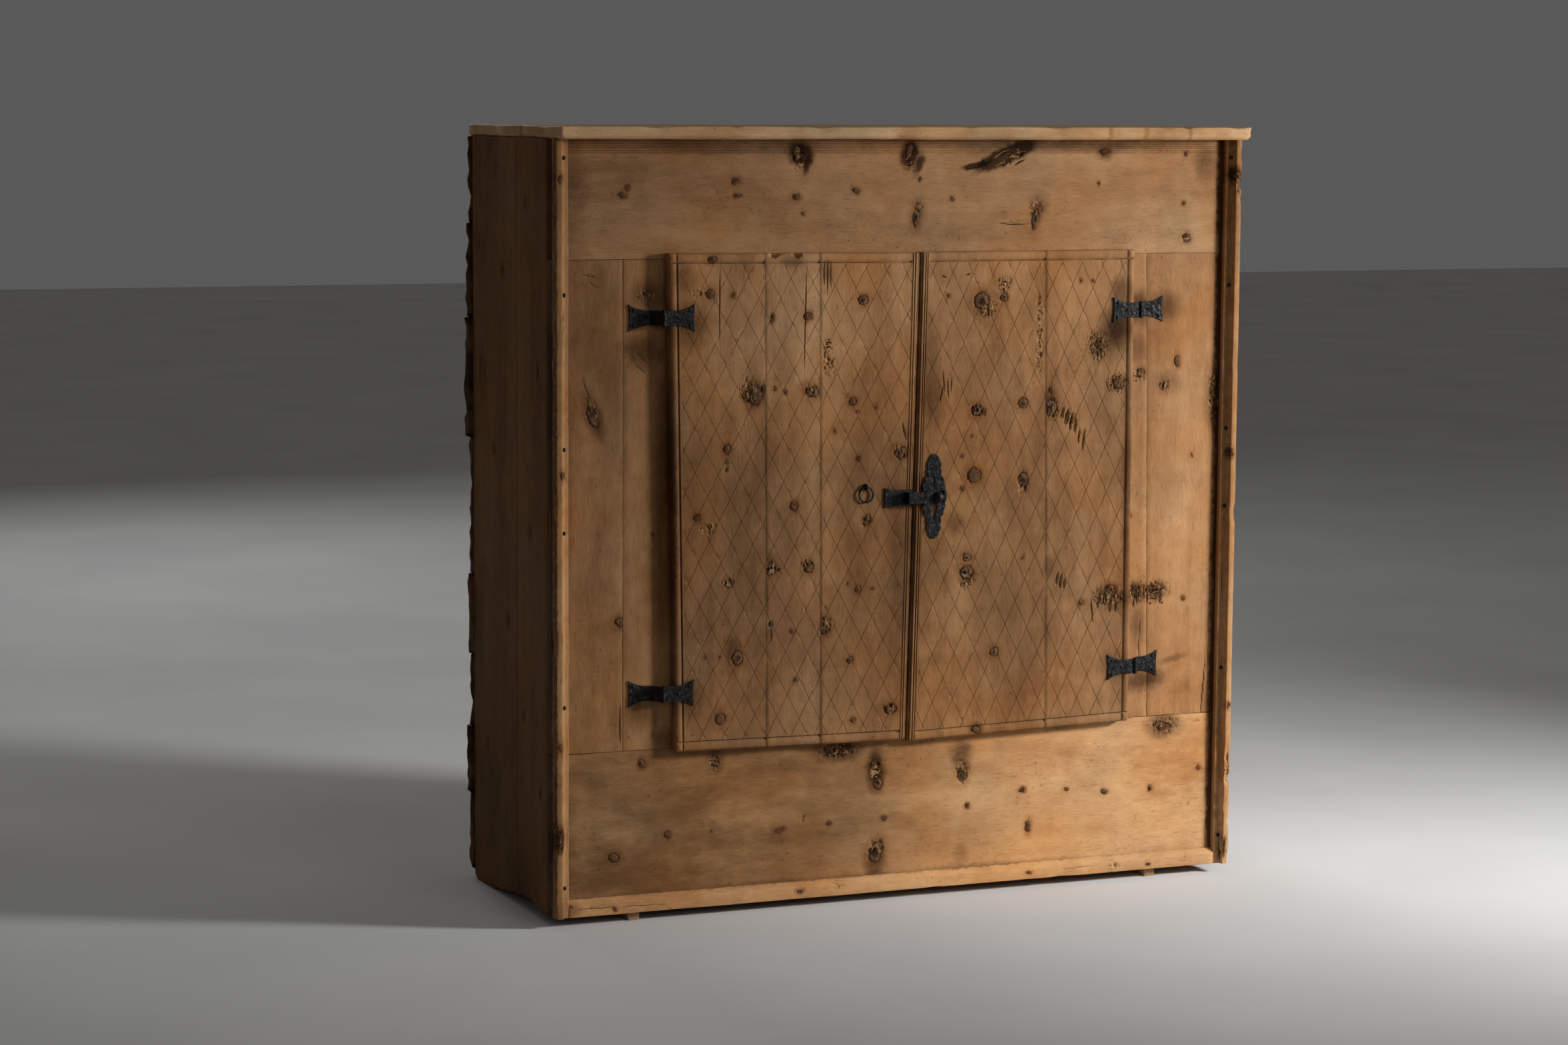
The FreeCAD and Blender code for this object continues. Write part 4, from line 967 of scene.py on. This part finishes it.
def slant(piece, low, high, corners):
    """Moves a plank's box onto its four real corners: top left, top right, bottom right, bottom left."""
    points = mesh_points(piece)
    over = ((points[:, 0] - low[0]) / (high[0] - low[0]))[:, None]
    up = ((points[:, 2] - low[2]) / (high[2] - low[2]))[:, None]
    top_left, top_right, bottom_right, bottom_left = [np.array(corner) / 1000 for corner in corners]
    head = top_left * (1 - over) + top_right * over
    foot = bottom_left * (1 - over) + bottom_right * over
    points[:, (0, 2)] = head * up + foot * (1 - up)
    set_points(piece, points)


def field(low, high, corners, margins):
    """A test of which places lie on a slanted plank's scored field, inside the margins of its two sides."""
    top_left, top_right, bottom_right, bottom_left = [corner[0] / 1000 for corner in corners]

    def inside(spots):
        up = np.clip((spots[:, 2] - low[2]) / (high[2] - low[2]), 0, 1)
        return ((spots[:, 0] > bottom_left + margins[0] + (top_left - bottom_left) * up)
                & (spots[:, 0] < bottom_right - margins[1] + (top_right - bottom_right) * up)
                & (spots[:, 2] > low[2] + 0.018) & (spots[:, 2] < high[2] - 0.018))

    return inside


LATTICE = {
    "left": (
        (62.0, 1, (
            -821, -791, -757, -724, -689, -651, -613, -577, -541, -506, -473, -437, -403, -366, -327, -289,
            -252, -216, -182, -146)),
        (62.0, -1, (
            -213, -181, -148, -117, -87, -55, -22, 9, 42, 73, 105, 138, 171, 207, 240, 273, 305, 337, 369,
            400, 431, 462, 493))),
    "right": (
        (64.5, 1, (
            -424, -389, -354, -319, -283, -247, -211, -176, -139, -103, -71, -36, 4, 41, 78, 113, 148, 184,
            219)),
        (64.0, -1, (
            157, 190, 225, 262, 299, 332, 367, 401, 433, 467, 503, 536, 568, 601, 635, 665, 694, 727, 760,
            793, 826)))}
DOORS = {
    "left": ((-430, 1101), (17.05, 1098), (-1.85, 277), (-416, 282)),
    "right": ((420.5, 1099.5), (19.55, 1099), (0.65, 274), (422.3, 284))}
PLANK_SHARES = {"left": ((0, 0.373, 0.593, 1), (0, 0.386, 0.622, 1)), "right": ((0, 0.424, 1), (0, 0.382, 1))}
AGED = ((0.115, 0.055, 0.024), (0.332, 0.174, 0.080), (0.558, 0.329, 0.167))
AGED_WARM = ((0.121, 0.055, 0.021), (0.342, 0.172, 0.074), (0.577, 0.330, 0.156))
# Darkens the door planks across their middle height, leaving head and foot paler.
MIDDLE_DARKENING = ((0.52, 0, 560, 4000, 540),)
PLANK_CHIPS = {
    "left_door_plank_2": (((-247, -213, 1101), 9, (0, 7, -9)), ((-240, -213, 1102), 6, (0, 6, -5)),
                          ((-206, -213, 1101), 9, (0, 6, -8)))}
PLANK_FIGURES = {
    "left_door_plank_1": dict(
        heart=(-0.36, -0.13), tones=AGED,
        knots=(
            (-360, 1034, 8), (-320, 1033, 4, 5), (-279, 866, 12, 15, 15), (-330, 780, 7, 8),
            (-329, 758, 3, 4), (-382, 668, 6), (-326, 557, 6), (-310, 433, 10, 12), (-340, 332, 9, 10),
            (-367, 436, 3), (-357, 1091, 8, 6), (-340, 436, 2.5)),
        stains_and_shade=(
            (0.8, -392, 985, 52, 60), (0.7, -398, 370, 46, 60), (0.5, -405, 1060, 34, 36),
            # (0.75, -424, 690, ...) is painted shade on the door's hinge edge.
            (0.7, -318, 450, 22, 36), (0.75, -424, 690, 14, 440), (0.65, -285, 870, 30, 36)),
        gouges=((-343, 1018, 1.1, 72), (-266, 877, 5, 9), (-329, 746, 3, 6, 20)),
        torn=((-362, 652, 15, 12), (-292, 874, 18, 24), (-326, 560, 14), (-378, 1036, 14, 9))),
    "left_door_plank_2": dict(
        heart=(-0.21, -0.15), tones=AGED,
        knots=(
            (-250, 993, 4, 8), (-187, 995, 8, 7), (-244, 878, 4), (-226, 871, 3, 4), (-178, 871, 11, 10),
            (-210, 682, 7, 8), (-252, 578, 10), (-183, 579, 9, 10), (-212, 472, 4), (-205, 389, 4)),
        stains_and_shade=((0.4, -250, 590, 14, 20), (0.4, -190, 880, 22, 20), (0.4, -215, 1085, 30, 20)),
        gouges=(
            (-191, 990, 1.1, 102, 1), (-250, 486, 5, 7), (-249, 468, 1.6, 14), (-250, 996, 3, 6, 12),
            (-236, 576, 3, 5, 30)),
        torn=(
            (-180, 872, 13, 12), (-250, 580, 12), (-186, 584, 12), (-247, 1096, 7, 8), (-206, 1096, 8, 7))),
    "left_door_plank_3": dict(
        heart=(-0.07, -0.12), tones=AGED_WARM,
        knots=(
            (-88, 1021, 9), (-105, 853, 7), (-96, 836, 3), (-137, 805, 3), (-62, 842, 3),
            (-16, 764, 12, 10), (-94, 758, 4), (-76, 655, 6), (-110, 547, 3), (-93, 537, 6), (-66, 538, 3),
            (-157, 478, 13, 14), (-107, 418, 6), (-100, 316, 5), (-32, 331, 12, 9)),
        stains_and_shade=(
            (0.5, -30, 690, 40, 34), (0.55, -152, 1070, 14, 34), (0.25, -20, 560, 24, 200),
            (0.35, -76, 650, 16, 18)),
        gouges=(
            (-152, 1060, 1.2, 30), (-158, 1066, 1.0, 24), (-146, 1064, 1.0, 26), (-10, 800, 2.0, 18, -14),
            (-150, 952, 6, 2), (-150, 944, 6, 2), (-172, 432, 3, 14, 6), (-155, 478, 10, 2, 8)),
        torn=(
            (-151, 942, 9, 22), (-147, 912, 14, 18), (-16, 766, 15, 14), (-155, 480, 18),
            (-32, 332, 15, 11), (-78, 652, 12))),
    "right_door_plank_1": dict(
        heart=(0.35, -0.12), tones=AGED_WARM,
        knots=(
            (264, 833, 11, 15), (390, 871, 12, 10), (326, 495, 5), (382, 512, 11, 10), (318, 1048, 3),
            (341, 1047, 3), (352, 938, 7)),
        stains_and_shade=(
            (1.0, 388, 966, 50, 62), (0.6, 352, 938, 40, 46), (0.95, 384, 500, 56, 34),
            (0.6, 395, 380, 50, 44), (0.6, 395, 1030, 36, 40), (0.5, 265, 560, 14, 34),
            (0.5, 412, 700, 14, 380), (0.55, 262, 850, 16, 40)),
        gouges=(
            (286, 823, 2.9, 13, 14), (294, 816, 3.3, 17, 14), (303, 808, 3.2, 18, 12),
            (311, 800, 2.7, 14, 12), (327, 776, 2.2, 22, 6), (318, 782, 1.8, 15, 6),
            (280, 539, 2.5, 13, 10), (287, 534, 2.8, 16, 8), (294, 530, 2.2, 12, 8),
            (372, 501, 3.0, 18, 10), (383, 489, 2.8, 17, 4), (361, 497, 2.6, 17, 12),
            (394, 486, 2.2, 14, 2), (348, 480, 1.6, 26, -6), (262, 862, 4, 8)),
        torn=(
            (352, 938, 24, 28), (390, 872, 24, 20), (380, 504, 34, 20), (266, 830, 12, 22),
            (300, 812, 16))),
    "right_door_plank_2": dict(
        heart=(0.13, -0.14), tones=AGED_WARM,
        knots=(
            (68, 1026, 4), (130, 1016, 14, 15), (172, 1021, 7, 8), (124, 831, 9, 10), (210, 841, 9),
            (120, 721, 13), (212, 711, 9, 12), (108, 557, 12), (214, 578, 4), (161, 418, 8),
            (130, 286, 8, 7), (115, 788, 3), (98, 755, 3), (108, 582, 8, 7), (98, 700, 4)),
        stains_and_shade=(
            (0.6, 36, 905, 26, 160), (0.45, 44, 850, 34, 70), (0.6, 85, 641, 34, 30),
            (0.55, 40, 690, 34, 60), (0.3, 60, 580, 44, 70), (0.35, 52, 410, 40, 20),
            (0.35, 130, 1008, 24, 34), (0.4, 108, 550, 20, 28), (0.45, 130, 290, 20, 16)),
        gouges=(
            (62, 882, 1.2, 22, -6), (70, 870, 1.2, 20, -4), (76, 876, 1.0, 16, 4), (58, 860, 1.4, 16, 10),
            (60, 1058, 6, 1.4, 20), (104, 1061, 6, 1.4, -14), (172, 1048, 8, 2.0, 10), (212, 700, 5, 8, 20),
            (136, 830, 1.6, 9, 10), (140, 828, 1.4, 9, 10)),
        torn=(
            (172, 1044, 16, 14), (144, 1000, 20, 16), (124, 832, 13, 12), (212, 706, 12, 20),
            (108, 545, 16, 20), (240, 960, 7, 80)))}
for hand, way in (("left", 1), ("right", -1)):
    hinge_top, meet_top, meet_bottom, hinge_bottom = [np.array(corner) for corner in DOORS[hand]]
    heads, feet = PLANK_SHARES[hand]
    heads = [hinge_top + (meet_top - hinge_top) * share for share in heads]
    feet = [hinge_bottom + (meet_bottom - hinge_bottom) * share for share in feet]
    for number in range(1, len(heads)):
        node = f"{hand}_door_plank_{number}"
        low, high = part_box(node)
        left, right = (number - 1, number)[::way]
        outline = [heads[left], heads[right], feet[right], feet[left]]
        on_hinge, on_meeting = number == 1, number == len(heads) - 1
        hinge_x, meeting_x = (low[0], high[0])[::way]
        door_plank = plank(node + "_scored", low, high, hinge_x if on_hinge else None,
                           meeting_x if on_meeting else None)
        slant(door_plank, low, high, outline)
        weather(door_plank, (0.0006, 0.05), (0.0010, 0.3))
        chip(door_plank, PLANK_CHIPS.get(node, ()))
        figure = PLANK_FIGURES[node]
        scar(door_plank, figure)
        margins = (0.0165 if on_hinge else 0.0006, 0.015 if on_meeting else 0.0006)[::way]
        in_field = field(low, high, outline, margins)
        for angle, rising, offsets in LATTICE[hand]:
            ruled = (math.sin(math.radians(angle)), -rising * math.cos(math.radians(angle)))
            reach = [ruled[0] * x / 1000 + ruled[1] * z / 1000 for x, z in outline]
            lines = [offset / 1000 for offset in offsets if min(reach) < offset / 1000 < max(reach)]
            scratch(door_plank, ruled, lines, 0.00055, 0.0006, inside=in_field)
        stains_and_shade = figure["stains_and_shade"] + MIDDLE_DARKENING
        fit(door_plank, node, hand + "_door",
            pine(node + "_pine", 2, 1, scored=True, **{**figure, "stains_and_shade": stains_and_shade}))
    for row in ("upper", "lower"):
        node = f"{hand}_door_ledge_{row}"
        low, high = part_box(node)
        ledge = block(node + "_planed", low, high)
        middles = edge_ends(ledge).mean(axis=0)
        lengthwise = np.abs(middles[:, 2] - (low[2] + high[2]) / 2) > 0.01
        chamfer(ledge, lengthwise & (middles[:, 1] > high[1] - 0.0001))
        ease(ledge, 0.0009)
        divide(ledge, (0, 0.012), (2, 0.010), (1, 0.008))
        weather(ledge, (0.0008, 0.05))
        fit(ledge, node, hand + "_door", bearer_pine)


# Ironwork: hinge leaves, pins, latch, strike plate, staple and ring, all forged from bar and sheet by
# hand, blackened at the fire and rusted brown in the hollows.  Nails hold them to the wood.
def forged_iron(name, bright):
    finish, place, shader = new_finish(name)
    facets = place.node("TexVoronoi", {"feature": "SMOOTH_F1"},
                        {"Vector": place, "Scale": 190.0, "Smoothness": 0.6})
    dents = place.noise(120.0, 2.0, 0.5)
    scale = place.noise(420.0, 4.0, 0.65)
    grit = place.noise(1900.0, 3.0, 0.6)
    tone = scale + (dents - 0.5) * 0.7 - (facets - 0.4) * 0.25
    colour = tone.ramp((0.28, (0.005, 0.005, 0.0053)), (0.55, (0.015, 0.015, 0.0156)),
                       (0.85, (0.060, 0.060, 0.061)))
    rust = place.moved((2.0, 5.0, 1.0)).noise(95.0, 4.0, 0.7)
    bump = dents * 1.3 - facets * 0.9 + scale * 0.35 + grit * 0.06
    plug(shader, {"Base Color": colour.over((0.050, 0.021, 0.010), rust.step(0.56, 0.75, 0.0, 0.5)),
                  "Roughness": 0.42 + (scale - 0.5) * 0.35 + rust.step(0.5, 0.75, 0.0, 0.25),
                  "Metallic": rust.step(0.75, 0.5, 0.2, bright),
                  "Specular IOR Level": 0.25, "Normal": bump.bumped(0.0010)})
    return finish


def forged(node, body, finish, grain=0.0006, dent=0.0008, swell=0.0):
    """A copy of a CAD node, merged and remeshed fine, then dented all over as if by the hammer."""
    alone(frame["nodes"][node])
    bpy.ops.object.duplicate()
    piece = bpy.context.object
    piece.name = node + "_forged"
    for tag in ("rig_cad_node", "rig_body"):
        if tag in piece:
            del piece[tag]
    piece.parent = None
    pick(piece, "vertices", np.ones(len(piece.data.vertices), bool))
    bpy.ops.mesh.remove_doubles(threshold=0.000002)
    close()
    modify(piece, "REMESH", mode="VOXEL", voxel_size=grain)
    modify(piece, "SMOOTH", iterations=2)
    weather(piece, (dent, 0.007))
    if swell:
        pick(piece, "vertices", np.ones(len(piece.data.vertices), bool))
        bpy.ops.transform.shrink_fatten(value=swell)
        close()
    fit(piece, node, body, finish, 60)


iron = forged_iron("forged_iron_black", 0.6)
nail_iron = forged_iron("nail_iron", 0.7)
for hand in ("left", "right"):
    for row in ("upper", "lower"):
        forged(f"{hand}_{row}_stile_leaf", "carcass", iron)
        forged(f"{hand}_{row}_door_leaf", hand + "_door", iron)
    forged(hand + "_door_hinge_nails", hand + "_door", nail_iron, 0.0005, 0.0003)
forged("stile_hinge_nails", "carcass", nail_iron, 0.0005, 0.0003)
forged("corner_moulding_nails", "carcass", nail_iron, 0.0005, 0.0003, 0.0007)
forged("hinge_pins", "carcass", iron, 0.0005, 0.0003)
for node, body in (("latch_plate", "right_door"), ("latch_bracket", "right_door"), ("latch_tongue", "latch"),
                   ("latch_knob", "latch"), ("strike_plate", "left_door"), ("ring_staple", "left_door")):
    forged(node, body, iron, 0.0004, 0.0003)
forged("pull_ring", "ring", iron, 0.0004, 0.0003, 0.0003)


# Setting: a pale seamless floor, soft light from the right, a weak fill from the front and from behind,
# and the camera at the photograph's place.
bpy.ops.mesh.primitive_plane_add(size=40, location=(0, 0, 0))
ground = bpy.context.object
ground.name = "studio_floor"
finish, place, shader = new_finish("floor_paint")
pale = place.noise(1.7, 3.0).ramp((0.3, (0.60, 0.60, 0.60)), (0.7, (0.66, 0.66, 0.655)))
plug(shader, {"Base Color": pale, "Roughness": 0.8, "Specular IOR Level": 0.0})
ground.data.materials.append(finish)


def soft_lamp(name, place, aim, size, watts, spread=180):
    bpy.ops.object.light_add(type="AREA", location=place)
    lamp = bpy.context.object
    lamp.name = name
    lamp.data.shape = "DISK"
    lamp.data.size = size
    lamp.data.energy = watts
    lamp.data.spread = math.radians(spread)
    lamp.rotation_mode = "QUATERNION"
    lamp.rotation_quaternion = (Vector(aim) - Vector(place)).to_track_quat("-Z", "Y")


soft_lamp("key_lamp", (3.0, -2.0, 1.5), (0.85, -0.2, 0.36), 0.6, 28.5, 70)
soft_lamp("fill_lamp", (0.9, -6.0, 2.8), (0, 0, 0.7), 3.0, 31.5)
soft_lamp("rear_lamp", (-0.4, 5.4, 3.2), (0, 0, 0.6), 2.0, 52)
world = bpy.data.worlds.new("studio_air")
bpy.context.scene.world = world
world.use_nodes = True
rays = world.node_tree.nodes.new("ShaderNodeLightPath").outputs
camera_ray, glossy_ray, through_ray = [
    Paint(world.node_tree, rays[f"Is {kind} Ray"]) for kind in ("Camera", "Glossy", "Transmission")]
seen = camera_ray + glossy_ray + through_ray
air = seen.node("Mix", {"data_type": "RGBA"}, {0: seen, 6: (0.82, 0.80, 0.775), 7: (0.78, 0.775, 0.77)}, 2)
plug(world.node_tree.nodes["Background"], {"Color": air, "Strength": 0.13})

PHOTO_WIDTH, FOCAL_PIXELS, SENSOR = 2353, 5450, 36
lens = bpy.data.cameras.new("photo_camera")
camera = bpy.data.objects.new("photo_camera", lens)
bpy.context.scene.collection.objects.link(camera)
yaw, pitch, roll = [math.radians(angle) for angle in (-22.66148, -6.60728, -0.342393)]
turned = (Matrix.Rotation(yaw, 4, "Z") @ Matrix.Rotation(pitch, 4, "X") @ Matrix.Rotation(roll, 4, "Y")
          @ Matrix.Rotation(math.radians(90), 4, "X"))
camera.matrix_world = Matrix.Translation((-2.52717, -5.72153, 1.34655)) @ turned
lens.sensor_fit = "HORIZONTAL"
lens.sensor_width = SENSOR
lens.lens = SENSOR * FOCAL_PIXELS / PHOTO_WIDTH
lens.clip_end = 100
bpy.context.scene.camera = camera
bpy.context.scene.view_settings.view_transform = "Standard"
